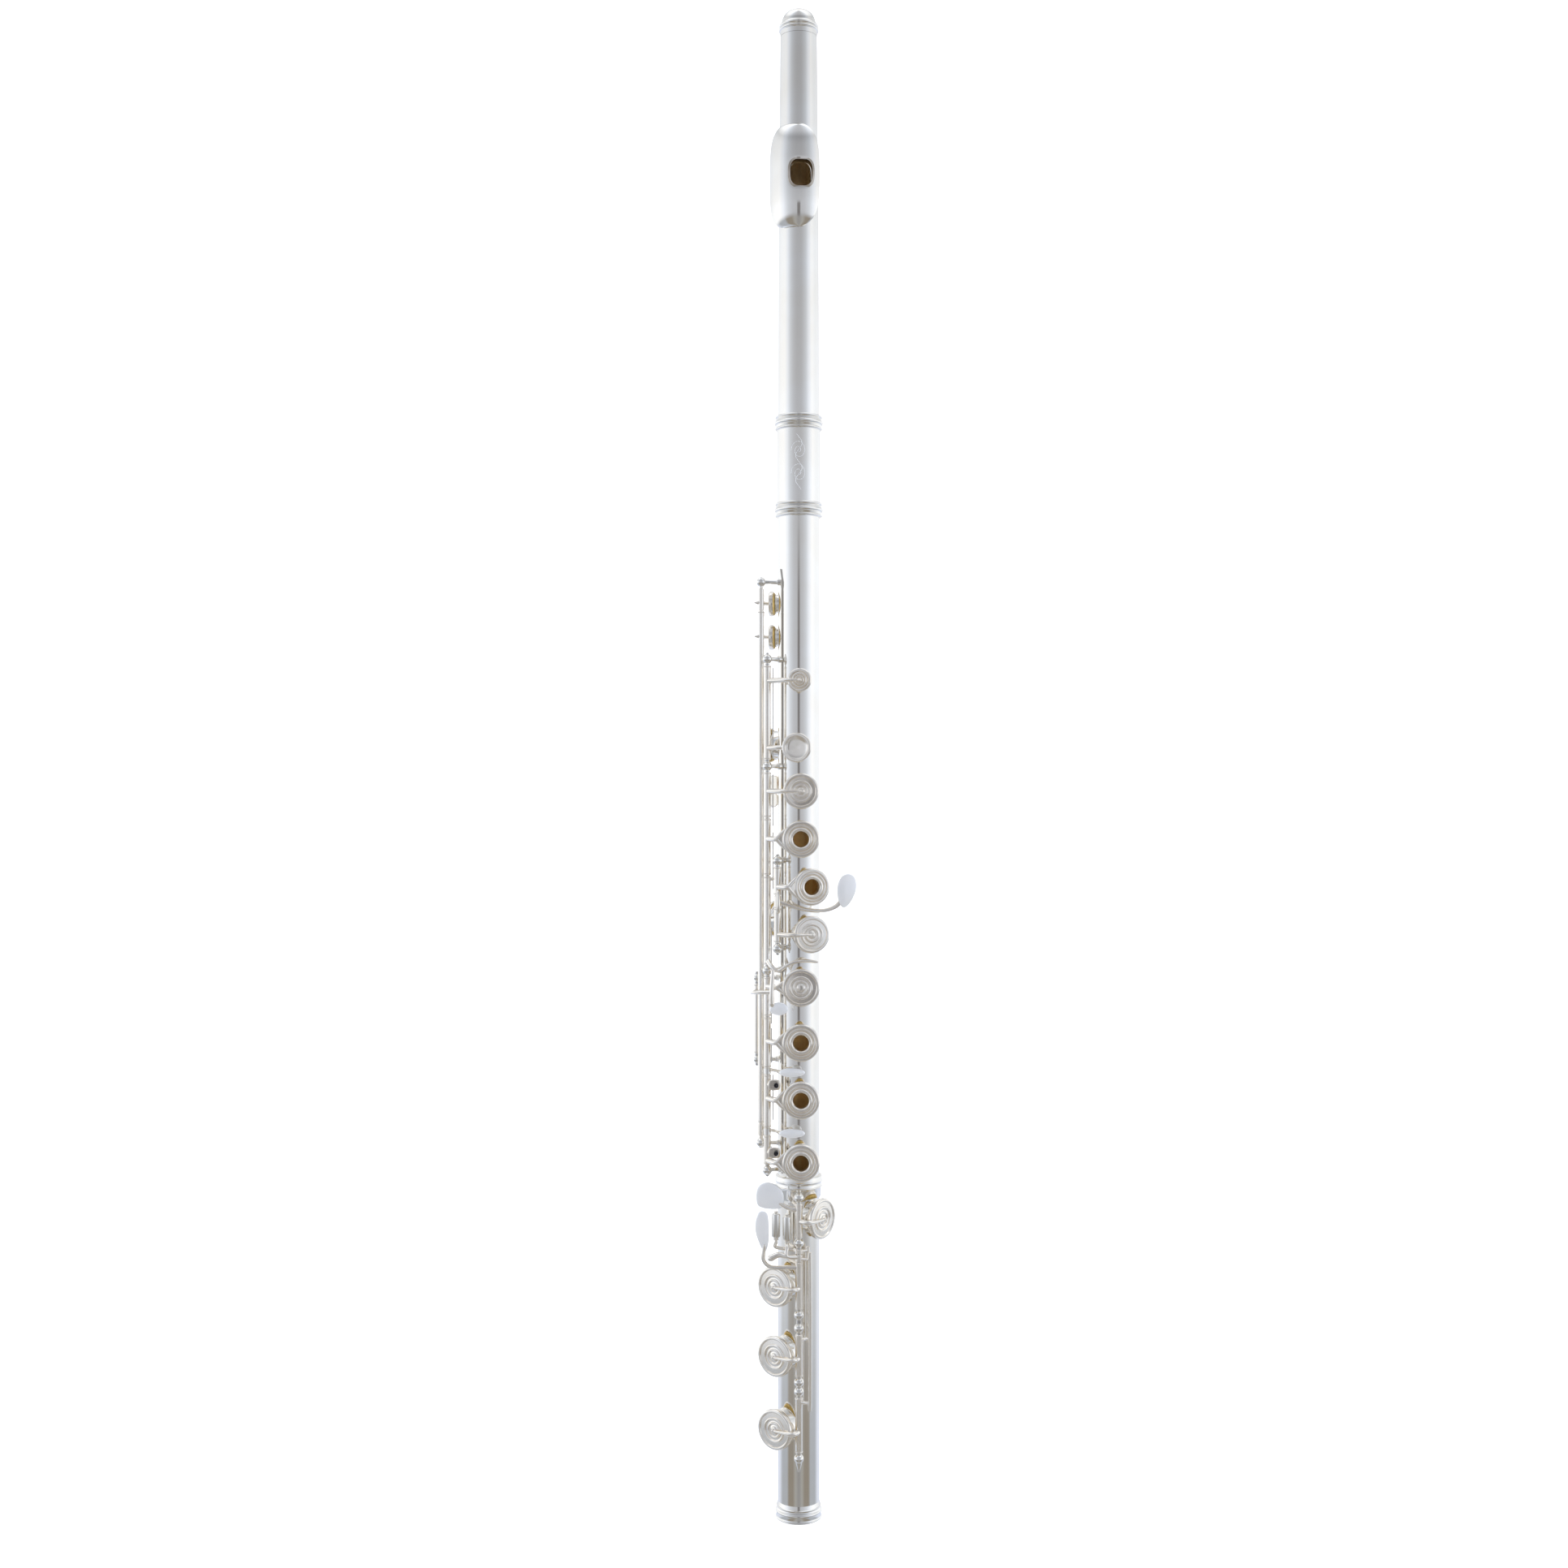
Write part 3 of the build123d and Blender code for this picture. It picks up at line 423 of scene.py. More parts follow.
# Fish-skin over felt: golden, slightly mottled, with a soft sheen
PAD = surface("pad_skin", 0.0, 0.42, (700, 5), [(0.3, (0.52, 0.34, 0.09)), (0.7, (0.82, 0.60, 0.20))],
              (0.25, 0.0001))
fill(PAD.node_tree.nodes["Principled BSDF"], Sheen_Weight=0.2)
# The unpolished inside of the tubes; its golden brown is painted reflection of the pads and painted shade
BORE = surface("bore_metal", 0.6, 0.36, (300, 4, (1, 1, 0.1)),
               [(0.3, (0.80, 0.58, 0.30)), (0.75, (0.98, 0.80, 0.48))])
CORK = surface("cork", 0.0, 0.8, (1400, 6), [(0.35, (0.22, 0.11, 0.05)), (0.6, (0.60, 0.40, 0.22))],
               (0.6, 0.0002))
# Hinge rods and springs: drawn along their length, a little duller than the plate
STEEL = surface("drawn_steel", 1.0, 0.2, (2500, 2, (1, 1, 0.02)),
                [(0.3, (0.56, 0.55, 0.54)), (0.7, (0.72, 0.71, 0.69))], (0.08, 0.00002))
SCREW = surface("blued_screw", 0.8, 0.35, (1800, 3),
                [(0.4, (0.012, 0.012, 0.015)), (0.8, (0.10, 0.10, 0.11))])


# ---- cups and pads
def closed_profile(radius, seat):
    """A cup with a rolled rim, two raised rings and a centre boss."""
    ring, inner, boss = 0.56 * radius, 0.34 * radius, 0.12 * radius
    profile = [(radius - 0.5, 0.95), (radius - 0.15, 0.9)] + arc(radius - 0.15, 1.05, 0.15, -90, 0, 3)
    profile += arc(radius - 0.95, 2.2, 0.95, 0, 90, 8) + arc(radius - 1.25, 2.9, 0.25, 90, 170, 4)
    profile += [(radius - 1.75, 2.6)] + arc(ring, 2.68, 0.62, 0, 180, 10)
    profile += [((ring + inner - 0.12) / 2, 2.6)] + arc(inner, 2.75, 0.5, 0, 180, 8)
    profile += [((boss + inner) / 2, 2.7)] + arc(boss, 3.0, 0.5, 0, 90, 5) + [(0, 3.55)]
    profile += [(0, 2.3), (radius - 0.5, 2.3)]
    return [(r, h + seat) for r, h in profile]


def open_profile(radius, seat):
    """A ring cup: rolled rim, one raised ring, and a round collar at the finger hole."""
    hole = FINGER_HOLE_R
    profile = [(radius - 0.5, 0.95), (radius - 0.15, 0.9)] + arc(radius - 0.15, 1.05, 0.15, -90, 0, 3)
    profile += arc(radius - 0.95, 2.25, 0.95, 0, 90, 8) + arc(radius - 1.3, 2.95, 0.25, 90, 170, 4)
    profile += [(radius - 1.7, 2.55)] + arc(radius - 2.45, 2.6, 0.55, 0, 180, 8)
    profile += [(hole + 2.15, 2.5)] + arc(hole + 1.1, 2.5, 0.95, 10, 170, 10)
    profile += [(hole, 2.4), (hole, 0.4), (hole + 0.5, 0.4), (hole + 0.5, 2.1), (radius - 0.5, 2.1)]
    return [(r, h + seat) for r, h in profile]


def dish_profile(radius, seat):
    """The C sharp key's dished finger touch."""
    profile = [(0, 1.2), (radius - 0.8, 1.2)] + arc(radius - 0.8, 2.0, 0.8, -90, 0, 5)
    profile += arc(radius - 0.75, 2.7, 0.75, 0, 90, 7) + arc(radius - 1.3, 3.2, 0.25, 90, 180, 3)
    dish = 0.7 * (radius - 1.8)
    profile += [(radius - 1.8, 2.95)] + [(dish * (1 - i / 6), 2.75 - 0.06 * i) for i in range(6)] + [(0, 2.4)]
    return [(r, h + seat) for r, h in profile]


def pad_profile(radius, seat, opened):
    """A pad with a rounded lower edge, ring-shaped in an open-hole cup."""
    outer, low, high = radius - 0.6, seat + PAD_GAP, seat + (2.1 if opened else 2.3)
    inner = FINGER_HOLE_R + 0.6 if opened else 0.0
    swell = arc(outer - 0.6, low + 0.6, 0.6, -90, 0, 6)
    return [(inner, low)] + swell + [(outer, high), (inner, high)]


def add_cup(bm, key, kind, turn):
    """A key's cup over its tone hole; every kind but open has a closed top."""
    _, radius, _, seat = CUPS[key]
    profile = open_profile(radius, seat) if kind == "open" else closed_profile(radius, seat)
    add_lathe(bm, profile, turn @ over(key), CUP_TURN)


def add_pointed_arm(bm, key, hinge, turn):
    """An arm from the hinge over the cup, narrowing to a ball at its centre."""
    angle, radius, _, seat = CUPS[key]
    y, z = in_frame(hinge, angle)
    side = 1 if y > 0 else -1
    points = [(0, y, z), (0, side * (radius + 1.0), seat + 2.7), (0, side * 0.4 * radius, seat + 3.85),
              (0, 0, seat + 3.8)]
    place = turn @ over(key)
    add_arm(bm, points, [1.4, 1.15, 0.62, 0.4], place)
    add_ball(bm, points[-1], 0.75, place)


def add_forked_arm(bm, key, hinge, turn, spread=4.2):
    """An arm whose end fans out like a swallow's tail against the cup's side."""
    angle, radius, _, seat = CUPS[key]
    y, z = in_frame(hinge, angle)
    side = 1 if y > 0 else -1
    root = (0, side * (radius + 2.6), seat + 1.6)
    place = turn @ over(key)
    add_arm(bm, [(0, y, z), (0, side * (radius + 3.8), seat + 0.5), root], [1.5, 1.4, 1.25], place)
    for way in (-1, 1):
        tip = (way * spread, side * sqrt(radius ** 2 - spread ** 2) * 0.97, seat + 1.75)
        knee = (way * spread * 0.5, side * (radius + 0.8), seat + 1.75)
        add_arm(bm, [root, knee, tip], [1.2, 1.0, 0.85], place)
    near, far = side * radius * 0.95, side * (radius + 2.9)
    web = [(-0.75 * spread, near), (-0.45 * spread, side * (radius + 0.9)), (-1.0, far), (1.0, far),
           (0.45 * spread, side * (radius + 0.9)), (0.75 * spread, near)]
    lift = Matrix.Translation((0, 0, seat + 1.75))
    add_blade(bm, rounded_loop(web, 4), 1.5, place @ lift, rows=2, slot=0)


def make_pad(key, turn, kind, body, nodes, name=None):
    _, radius, _, seat = CUPS[key]
    bm = bmesh.new()
    profile = pad_profile(radius, seat, kind == "open")
    add_lathe(bm, profile, turn @ over(key), closed=kind == "open")
    return piece(bm, name or key + "_pad_skin", body, PAD, nodes)


def finish_key(bm, key, turn=Matrix(), kind="closed"):
    """Makes a key's silver and its pad into pieces."""
    piece(bm, key + "_key_silver", key, KEY, (key + "_key",))
    make_pad(key, turn, kind, key, (key + "_pad",))


def tube_span(bm, hinge, low, high, radius=HINGE_R, collars=True):
    """A hinge tube with a fine turned collar at each end."""
    add_tube(bm, hinge, radius, low, high)
    if collars and high - low > 6:
        for z in (low + 0.7, high - 0.7):
            rim = arc(radius, z, 0.22, -90, 90, 4)
            add_lathe(bm, [(radius - 0.3, z - 0.22)] + rim + [(radius - 0.3, z + 0.22)],
                      Matrix.Translation((*hinge, 0)), 40)


# ---- keys on the body
def simple_key(key, kind, low, high, spread=4.2):
    """A key that is one cup, its arm and its hinge tube; kind says which arm and whether it is open."""
    hinge = hinge_of(key)
    turn = about(hinge, lift_of(key))
    bm = bmesh.new()
    add_cup(bm, key, kind, turn)
    if kind == "pointed":
        add_pointed_arm(bm, key, hinge, turn)
    else:
        add_forked_arm(bm, key, hinge, turn, spread)
    tube_span(bm, hinge, low, high)
    if key in ("e", "d"):
        add_clutch(bm, key, hinge)
    finish_key(bm, key, turn, kind)


def add_clutch(bm, key, hinge):
    """The tab that carries an adjusting screw."""
    z = middle(key + "_adjusting_screw").z
    tab = rounded_loop([(-2.4, -2.1), (2.4, -2.1), (2.4, 2.1), (-2.4, 2.1)], 6)
    add_blade(bm, tab, 1.2, front(hinge[0] + 3.2, hinge[1] - 2.9, z), slot=0)
    add_arm(bm, [(*hinge, z), (hinge[0] + 1.8, hinge[1] - 2.7, z)], [1.3, 0.8])


def c_sharp_key():
    """The small cup and the dished touch below it on one hinge tube."""
    key, hinge, touch_z = "c_sharp", hinge_of("c_sharp"), 367.0
    turn = about(hinge, lift_of(key))
    bm = bmesh.new()
    add_cup(bm, key, "pointed", turn)
    add_pointed_arm(bm, key, hinge, turn)
    touch = turn @ facing(touch_z, 0)
    add_lathe(bm, dish_profile(7.0, SEAT), touch, CUP_TURN)
    y, z = in_frame(hinge, 0)
    add_arm(bm, [(0, y, z), (0, 10.4, SEAT + 1.0), (0, 6.2, SEAT + 2.0)], [1.4, 1.1, 1.0], touch)
    tube_span(bm, hinge, 361.3, 406.0)
    finish_key(bm, key, turn)


def g_key():
    """The open G cup and the closed cup linked to it, with a bridge past the G sharp key's hinge."""
    hinge = hinge_of("g")
    turn = about(hinge, lift_of("g"))
    bm = bmesh.new()
    add_cup(bm, "g", "open", turn)
    add_forked_arm(bm, "g", hinge, turn)
    add_cup(bm, "low_g", "pointed", turn)
    add_pointed_arm(bm, "low_g", hinge, turn)
    tube_span(bm, hinge, 275.2, 291.6)
    tube_span(bm, hinge, 297.6, 311.0)
    x, y = hinge[0] + 0.4, hinge[1] - 2.6
    add_arm(bm, [(*hinge, 289.5), (x, y, 290.8), (x, y, 298.3), (*hinge, 299.6)], [0.9] * 4)
    piece(bm, "g_key_silver", "g", KEY, ("g_key",))
    make_pad("g", turn, "open", "g", ("g_pad",))
    make_pad("low_g", turn, "closed", "g", (), "low_g_pad_skin")


def g_sharp_key():
    """The touch across the front, and the arm round the back to the cup."""
    hinge, key = hinge_of("g_sharp"), "g_sharp"
    angle, _, _, seat = CUPS[key]
    bm = bmesh.new()
    add_cup(bm, key, "closed", Matrix())
    add_arm(bm, [(*hinge, 294.8), (-7.0, -13.4, 293.6), (2.0, -13.2, 291.0), (11.0, -12.2, 290.2),
                 (17.6, -11.2, 292.2), (20.8, -11.2, 296.2)], [1.4, 1.0, 0.9, 0.9, 1.1, 1.0])
    out = Vector((0.12, -1, 0)).normalized()
    up = Vector((0.18, 0.02, 1)).normalized()
    side = out.cross(up).normalized()
    up = side.cross(out)
    add_blade(bm, oval(16.2, 8.8, 0.22), 1.3, basis((22.4, -11.6, 299.6), up, side, out), hollow=-0.5)
    top = around(angle, seat + 3.3)
    back = [(*hinge, 294.4), (-11.3, -8.2, 292.0), (-13.4, -3.0, 288.5), (-15.4, 0.2, 286.4),
            (-16.7, 2.6, 285.4), (*top, cup_height(key))]
    add_arm(bm, back, [1.4, 0.8, 0.8, 0.8, 0.85, 0.6])
    tube_span(bm, hinge, 291.9, 297.3, collars=False)
    finish_key(bm, key)


def trill_key(key, touch_z, spans):
    """A trill cup at the side of the tube and its oval touch among the right-hand keys."""
    hinge = hinge_of(key)
    angle, _, _, seat = CUPS[key]
    z = cup_height(key)
    bm = bmesh.new()
    add_cup(bm, key, "closed", Matrix())
    top = around(angle, seat + 3.4)
    add_arm(bm, [(*hinge, z), ((hinge[0] + top[0]) / 2 - 0.3, (hinge[1] + top[1]) / 2, z), (*top, z)],
            [1.3, 1.0, 0.8])
    add_arm(bm, [(*hinge, z), (hinge[0] - 1.6, hinge[1] - 0.4, z), (hinge[0] - 3.0, hinge[1] - 0.6, z)],
            [1.4, 0.9, 0.35])
    add_arm(bm, [(*hinge, touch_z), (-14.3, -5.3, touch_z), (-10.9, -9.0, touch_z), (-8.6, -13.8, touch_z),
                 (-6.2, -14.9, touch_z)], [1.3, 0.8, 0.8, 0.9, 0.7])
    add_blade(bm, oval(12.0, 4.4), 1.4, front(-3.2, -15.0, touch_z), hollow=-0.4)
    for low, high in spans:
        tube_span(bm, hinge, low, high, THIN_HINGE_R, collars=high - low > 12)
    if key == "d_sharp_trill":
        add_tube(bm, hinge, ROD_R, 177.9, 447.6)
    finish_key(bm, key)


def thumb_key():
    """The thumb cup behind the tube, with its own touch and the B flat touch beside it."""
    key, hinge = "thumb", hinge_of("thumb")
    turn = about(hinge, lift_of(key))
    angle, _, _, seat = CUPS[key]
    bm = bmesh.new()
    add_cup(bm, key, "closed", turn)
    z, top = cup_height(key), around(angle, seat + 3.3)
    add_arm(bm, [(*hinge, z), (*around(142, 17.6), z), (*top, z)], [1.4, 1.1, 0.7], turn)
    for height, length in ((350.4, 14.0), (342.2, 9.0)):
        place = Matrix.Translation((0, 0, height)) @ facing(0, 128) @ Matrix.Translation((0, 0, 15.6))
        add_blade(bm, oval(7.4, length), 1.4, place, hollow=-0.3, slot=0)
        add_arm(bm, [(*hinge, height), (*around(145, 16.2), height)], [1.4, 0.9])
    tube_span(bm, hinge, 338.6, 374.4)
    finish_key(bm, key, turn)


def b_flat_lever():
    hinge = hinge_of("b_flat")
    bm = bmesh.new()
    add_arm(bm, [(*hinge, 251.0), (-22.2, -8.0, 251.0), (-20.2, -15.5, 252.0), (-13.2, -18.8, 252.4)],
            [1.2, 0.9, 0.9, 0.95])
    add_arm(bm, [(-12.2, -18.9, 262.4), (-12.8, -18.9, 252.4), (-12.6, -18.6, 246.6)], [0.9, 1.15, 1.3])
    add_blade(bm, oval(8.6, 6.2), 1.4, front(-9.4, -18.2, 244.6), hollow=-0.3)
    tube_span(bm, hinge, 221.5, 254.8, BFLAT_HINGE_R)
    piece(bm, "b_flat_lever_silver", "b_flat", KEY, ("b_flat_lever",))


def split_e_lever():
    """The lever that closes the lower G cup with the E key."""
    hinge = hinge_of("split_e")
    bm = bmesh.new()
    add_arm(bm, [(*hinge, 266.8), (-12.6, -13.0, 263.6), (-9.6, -14.2, 262.0), (-6.0, -14.8, 264.4),
                 (-2.0, -15.0, 266.2), (3.0, -14.8, 266.8), (8.6, -14.2, 266.2)],
            [1.4, 1.1, 0.9, 0.85, 0.8, 0.8, 0.6])
    add_arm(bm, [(*hinge, 305.0), (-12.6, -9.6, 305.0)], [1.4, 0.8])
    tube_span(bm, hinge, 264.5, 306.4)
    piece(bm, "split_e_lever_silver", "split_e", KEY, ("split_e_lever",))


# ---- keys on the foot
def foot_key(key, draw, low, high):
    """A foot key: its cup on a pointed arm, its hinge tube, and what draw adds."""
    hinge = hinge_of(key)
    turn = Matrix() if key == "e_flat" else about(hinge, lift_of(key))
    bm = bmesh.new()
    add_cup(bm, key, "closed", turn)
    add_pointed_arm(bm, key, hinge, turn)
    tube_span(bm, hinge, low, high)
    draw(bm, hinge)
    finish_key(bm, key, turn)


def draw_e_flat(bm, hinge):
    outline = [(-19.6, 159.6), (-16.6, 162.2), (-11.6, 161.7), (-7.9, 158.4), (-6.9, 153.6), (-8.4, 150.3),
               (-14.0, 149.8), (-19.0, 151.2), (-20.2, 155.4)]
    add_blade(bm, rounded_loop(outline), 1.6, front(0, -13.4, 0), hollow=-0.35)
    add_arm(bm, [(*hinge, 149.6), (-5.0, -14.4, 150.6), (-9.2, -13.6, 152.6)], [1.4, 1.1, 0.8])


def draw_foot_c_sharp(bm, hinge):
    outline = [(-19.2, 148.0), (-16.8, 149.0), (-14.6, 147.0), (-14.1, 140.0), (-14.4, 133.4), (-15.8, 129.8),
               (-17.6, 131.4), (-20.2, 138.0), (-20.6, 143.6)]
    add_blade(bm, rounded_loop(outline), 1.6, front(0, -13.6, 0), hollow=-0.3)
    add_arm(bm, [(-16.2, -13.6, 133.0), (-16.7, -13.7, 126.2), (-13.4, -14.4, 122.9), (-7.0, -14.6, 122.6),
                 (*hinge, 122.6)], [1.1, 1.0, 1.0, 1.0, 1.35])


def add_roller_pin(bm, node, level):
    """The pin under, through and over a roller."""
    (low, high), (x, y, _) = box_mm(node), middle(node)
    add_tube(bm, (x, y), 0.6, level, high.z + 0.8)
    add_tube(bm, (x, y), 1.0, high.z + 0.3, high.z + 1.05)
    add_tube(bm, (x, y), 1.2, low.z - 1.4, low.z - 0.3)
    return x, y


def draw_foot_c(bm, hinge):
    """The C roller's pin and arm, and the rod down to the C cup."""
    x, y = add_roller_pin(bm, "c_roller", 133.0)
    add_arm(bm, [(*hinge, 130.2), (-3.0, -11.9, 130.5), (x, y + 1.2, 131.6), (x, y, 134.4)],
            [1.1, 0.85, 0.85, 0.9])
    tube_span(bm, hinge, 129.0, 131.3, collars=False)
    add_arm(bm, [(*hinge, 130.1), (3.6, -12.5, 130.1), (4.4, -12.2, 128.6), (4.4, -12.2, 90.2),
                 (3.6, -12.5, 88.6), (*hinge, 88.6)], [0.85] * 6)


def draw_foot_b(bm, hinge):
    """The B roller's pin and arm, its small spatula, and the rod down to the B cup."""
    x, y = add_roller_pin(bm, "b_roller", 133.0)
    add_arm(bm, [(*hinge, 127.5), (x, y - 2.4, 128.4), (x, y - 2.0, 132.0), (x, y, 134.0)],
            [1.25, 0.95, 0.85, 1.0])
    add_arm(bm, [(x - 0.6, y - 2.4, 128.5), (-9.6, -17.2, 129.2), (-13.2, -17.0, 127.6)], [1.1, 1.3, 1.65])
    tube_span(bm, hinge, 125.4, 128.7, collars=False)
    add_arm(bm, [(*hinge, 126.6), (4.4, -16.4, 126.6), (5.2, -16.6, 125.0), (5.2, -16.6, 61.0),
                 (4.4, -16.4, 59.4), (*hinge, 59.4)], [0.85] * 6)


def turned_piece(profile, name, body, node, place=Matrix(), segments=TUBE_TURN):
    bm = bmesh.new()
    add_lathe(bm, profile, place, segments)
    piece(bm, name, body, SILVER, (node,))


def rollers():
    for body in ("c_roller", "b_roller"):
        (low, high), (x, y, _) = box_mm(body), middle(body)
        profile = [(0.66, low.z), (1.5, low.z)] + arc(1.25, low.z + 0.8, 0.8, -80, 0, 6)
        profile += arc(1.25, high.z - 0.8, 0.8, 0, 80, 6) + [(1.5, high.z), (0.66, high.z)]
        turned_piece(profile, body + "_silver", body, body, Matrix.Translation((x, y, 0)), 48)


# ---- posts, rods and springs
def add_post(bm, hinge, z, base_angle, base_r, ball_r=BALL_R):
    """A turned pillar: flange on the rib, waisted stem, and a ball round the rod."""
    foot = Vector((*around(base_angle, base_r - 0.5), z))
    top = Vector((*hinge, z))
    out = (top - foot).normalized()
    reach = (top - foot).length
    side = out.cross(Vector((0, 0, 1))).normalized()
    place = basis(foot, Vector((0, 0, 1)), side, out)
    profile = [(0, 0), (1.5, 0), (1.5, 1.3)] + arc(1.35, 1.45, 0.15, 0, 90, 3)
    profile += [(1.15, 1.9), (0.92, reach * 0.55), (1.05, reach - ball_r * 0.8), (0, reach - ball_r * 0.5)]
    add_lathe(bm, profile, place, SMALL_TURN)
    add_ball(bm, top, ball_r)
    for way in (-1, 1):
        add_lathe(bm, [(0, 0), (1.25, 0), (1.25, 0.35), (1.1, 0.5), (0, 0.5)],
                  Matrix.Translation(top + Vector((0, 0, way * (ball_r - 0.25) - 0.25))), 24)


# Posts on the body: the key whose hinge they hold, heights, angle round the tube, base radius, ball radius
BODY_POSTS = (("a", (409.0, 358.3, 261.7, 167.3), 57, RIB_R, BALL_R),
              ("g", (313.8, 272.4), 52, RIB_R, BALL_R), ("d_trill", (445.8, 179.6), 58, RIB_R, BALL_R),
              ("b_flat", (257.6, 218.7), 84, TUBE_R, SMALL_BALL_R),
              ("thumb", (377.4, 335.8), 165, TUBE_R, BALL_R))
FOOT_POSTS = (155.3, 134.1, 100.2, 94.0, 68.6, 64.2, 32.7)    # heights; the top one stands on the socket
SPACERS = ((212.8, 215.7), (184.0, 187.3))                    # fixed collars between keys on the main rod
ROD_END = 2.2                                                 # how far a rod runs past its last post


def posts_and_rods():
    """The pillars, the rods through them, and the collars that stay with the rods."""
    posts, rods = bmesh.new(), bmesh.new()
    for key, heights, angle, base, ball in BODY_POSTS:
        hinge = hinge_of(key)
        for z in heights:
            add_post(posts, hinge, z, angle, base, ball)
        if key != "d_trill":    # the trill rod turns with the D sharp trill key
            add_tube(rods, hinge, ROD_R, min(heights) - ROD_END, max(heights) + ROD_END)
            for z in (min(heights) - ROD_END - 0.1, max(heights) + ROD_END + 0.1):
                add_ball(rods, (*hinge, z), 0.8, segments=20)
    for low, high in SPACERS:
        tube_span(posts, hinge_of("a"), low, high, collars=False)
    piece(posts, "body_posts_silver", "body", SILVER, ("body_posts",))
    piece(rods, "body_rods_steel", "body", STEEL, ("body_rods",))
    posts, rods, hinge = bmesh.new(), bmesh.new(), hinge_of("foot_b")
    top, bottom = FOOT_POSTS[0], FOOT_POSTS[-1]
    for z in FOOT_POSTS:
        add_post(posts, hinge, z, 0, SOCKET_R if z == top else TUBE_R)
    cap = [(0, -6.4), (0.35, -6.2), (1.55, -1.9), (1.6, -1.2), (0, -1.0)]
    add_lathe(posts, cap, Matrix.Translation((*hinge, bottom)), SMALL_TURN)
    add_tube(rods, hinge, ROD_R, bottom - 1.7, top + ROD_END)
    piece(posts, "foot_posts_silver", "foot", SILVER, ("foot_posts",))
    piece(rods, "foot_rod_steel", "foot", STEEL, ("foot_rod",))


# ---- tubes, rings and plate
def combine(base, others, operation):
    """Applies one boolean after another and throws the cutters away."""
    for other in others:
        modifier = base.modifiers.new("cut", "BOOLEAN")
        modifier.operation = operation
        modifier.solver = "MANIFOLD"
        modifier.object = other
        bpy.context.view_layer.update()
        result = bpy.data.meshes.new_from_object(base.evaluated_get(bpy.context.evaluated_depsgraph_get()))
        base.modifiers.clear()
        base.data = result
        bpy.data.objects.remove(other)
    return base


def solid_lathe(profile, place=Matrix(), segments=TUBE_TURN):
    """A turned solid for the booleans; its profile starts and ends on the axis."""
    bm = bmesh.new()
    add_lathe(bm, profile, place, segments, closed=False)
    bmesh.ops.recalc_face_normals(bm, faces=bm.faces)
    return object_from(bm, "solid")


def round_normals(mesh, radius_at):
    """Exact normals, and material 1 in the bore, for the faces on the tube's own inside or outside."""
    near, steep = 0.03, 0.15
    normals = [Vector(n.vector) for n in mesh.corner_normals]
    for face in mesh.polygons:
        centre = face.center / MM
        flat = sqrt(centre.x ** 2 + centre.y ** 2)
        outer, inner = radius_at(centre.z)
        on_outer, on_inner = abs(flat - outer) < near, abs(flat - inner) < near
        if abs(face.normal.z) > steep or not (on_outer or on_inner):
            continue
        face.material_index = 1 if on_inner else 0
        for loop in face.loop_indices:
            spot = mesh.vertices[mesh.loops[loop].vertex_index].co
            out = Vector((spot.x, spot.y, 0)).normalized()
            normals[loop] = out if on_outer else -out
    mesh.normals_split_custom_set(normals)


def finish_tube(obj, name, body, nodes, radius_at):
    """Shades a drilled tube, lines its bore, and makes it a piece."""
    mesh = obj.data
    bm = bmesh.new()
    bm.from_mesh(mesh)
    shade(bm, TUBE_CREASE)
    bm.to_mesh(mesh)
    bm.free()
    mesh.materials.clear()
    mesh.materials.append(SILVER)
    mesh.materials.append(BORE)
    round_normals(mesh, radius_at)
    obj.name = name
    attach(obj, body)
    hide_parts(*nodes)


def chimney(key):
    """A tone hole's wall with its rolled rim, before the hole is cut."""
    _, _, hole, seat = CUPS[key]
    profile = [(0, 6.6), (hole + WALL, 6.6), (hole + WALL, seat - 0.85)]
    profile += arc(hole + 0.35, seat - 0.4, 0.38, -70, 90, 8) + [(0, seat - 0.02)]
    return solid_lathe(profile, over(key), TURN)


def tone_hole(key):
    """The cutter for a tone hole, a little wider at the rim."""
    _, _, hole, seat = CUPS[key]
    profile = [(0, 0.5), (hole, 0.5), (hole, seat - 0.3), (hole + 0.25, seat + 0.3), (0, seat + 0.3)]
    return solid_lathe(profile, over(key), TURN)


def drilled_tube(name, body, node, keys):
    """A straight tube with a chimney and a hole for each of the keys."""
    low, high = (corner.z for corner in box_mm(node))
    tube = solid_lathe([(0, low), (TUBE_R, low), (TUBE_R, high), (0, high)])
    combine(tube, [chimney(key) for key in keys], "UNION")
    bore = solid_lathe([(0, low - 1), (BORE_R, low - 1), (BORE_R, high + 1), (0, high + 1)])
    combine(tube, [bore] + [tone_hole(key) for key in keys], "DIFFERENCE")
    finish_tube(tube, name, body, (node,), lambda z: (TUBE_R, BORE_R))


HEAD_TOP = box_mm("head_tube")[1].z


def head_radius(z):
    """The head joint's outside radius: a straight tenon, then a gently curved taper to the crown."""
    if z <= TENON_TOP:
        return TENON_R
    t = (z - TENON_TOP) / (HEAD_TOP - TENON_TOP)
    return TENON_R + (HEAD_TOP_R - TENON_R) * t + TAPER_BOW * 4 * t * (1 - t)


def squircle(t, power):
    """A point of the unit circle, squared off more with a higher power."""
    c, s = cos(t), sin(t)
    scale = (abs(c) ** power + abs(s) ** power) ** (-1 / power)
    return c * scale, s * scale


def blow_outline(grow, count=64):
    """The embouchure hole's rounded rectangle: X up the tube, Y across."""
    points = [squircle(2 * pi * i / count, 2.9) for i in range(count)]
    return [((6.2 + grow) * x, (5.2 + grow) * y) for x, y in points]


def blow_z():
    return middle("lip_riser").z


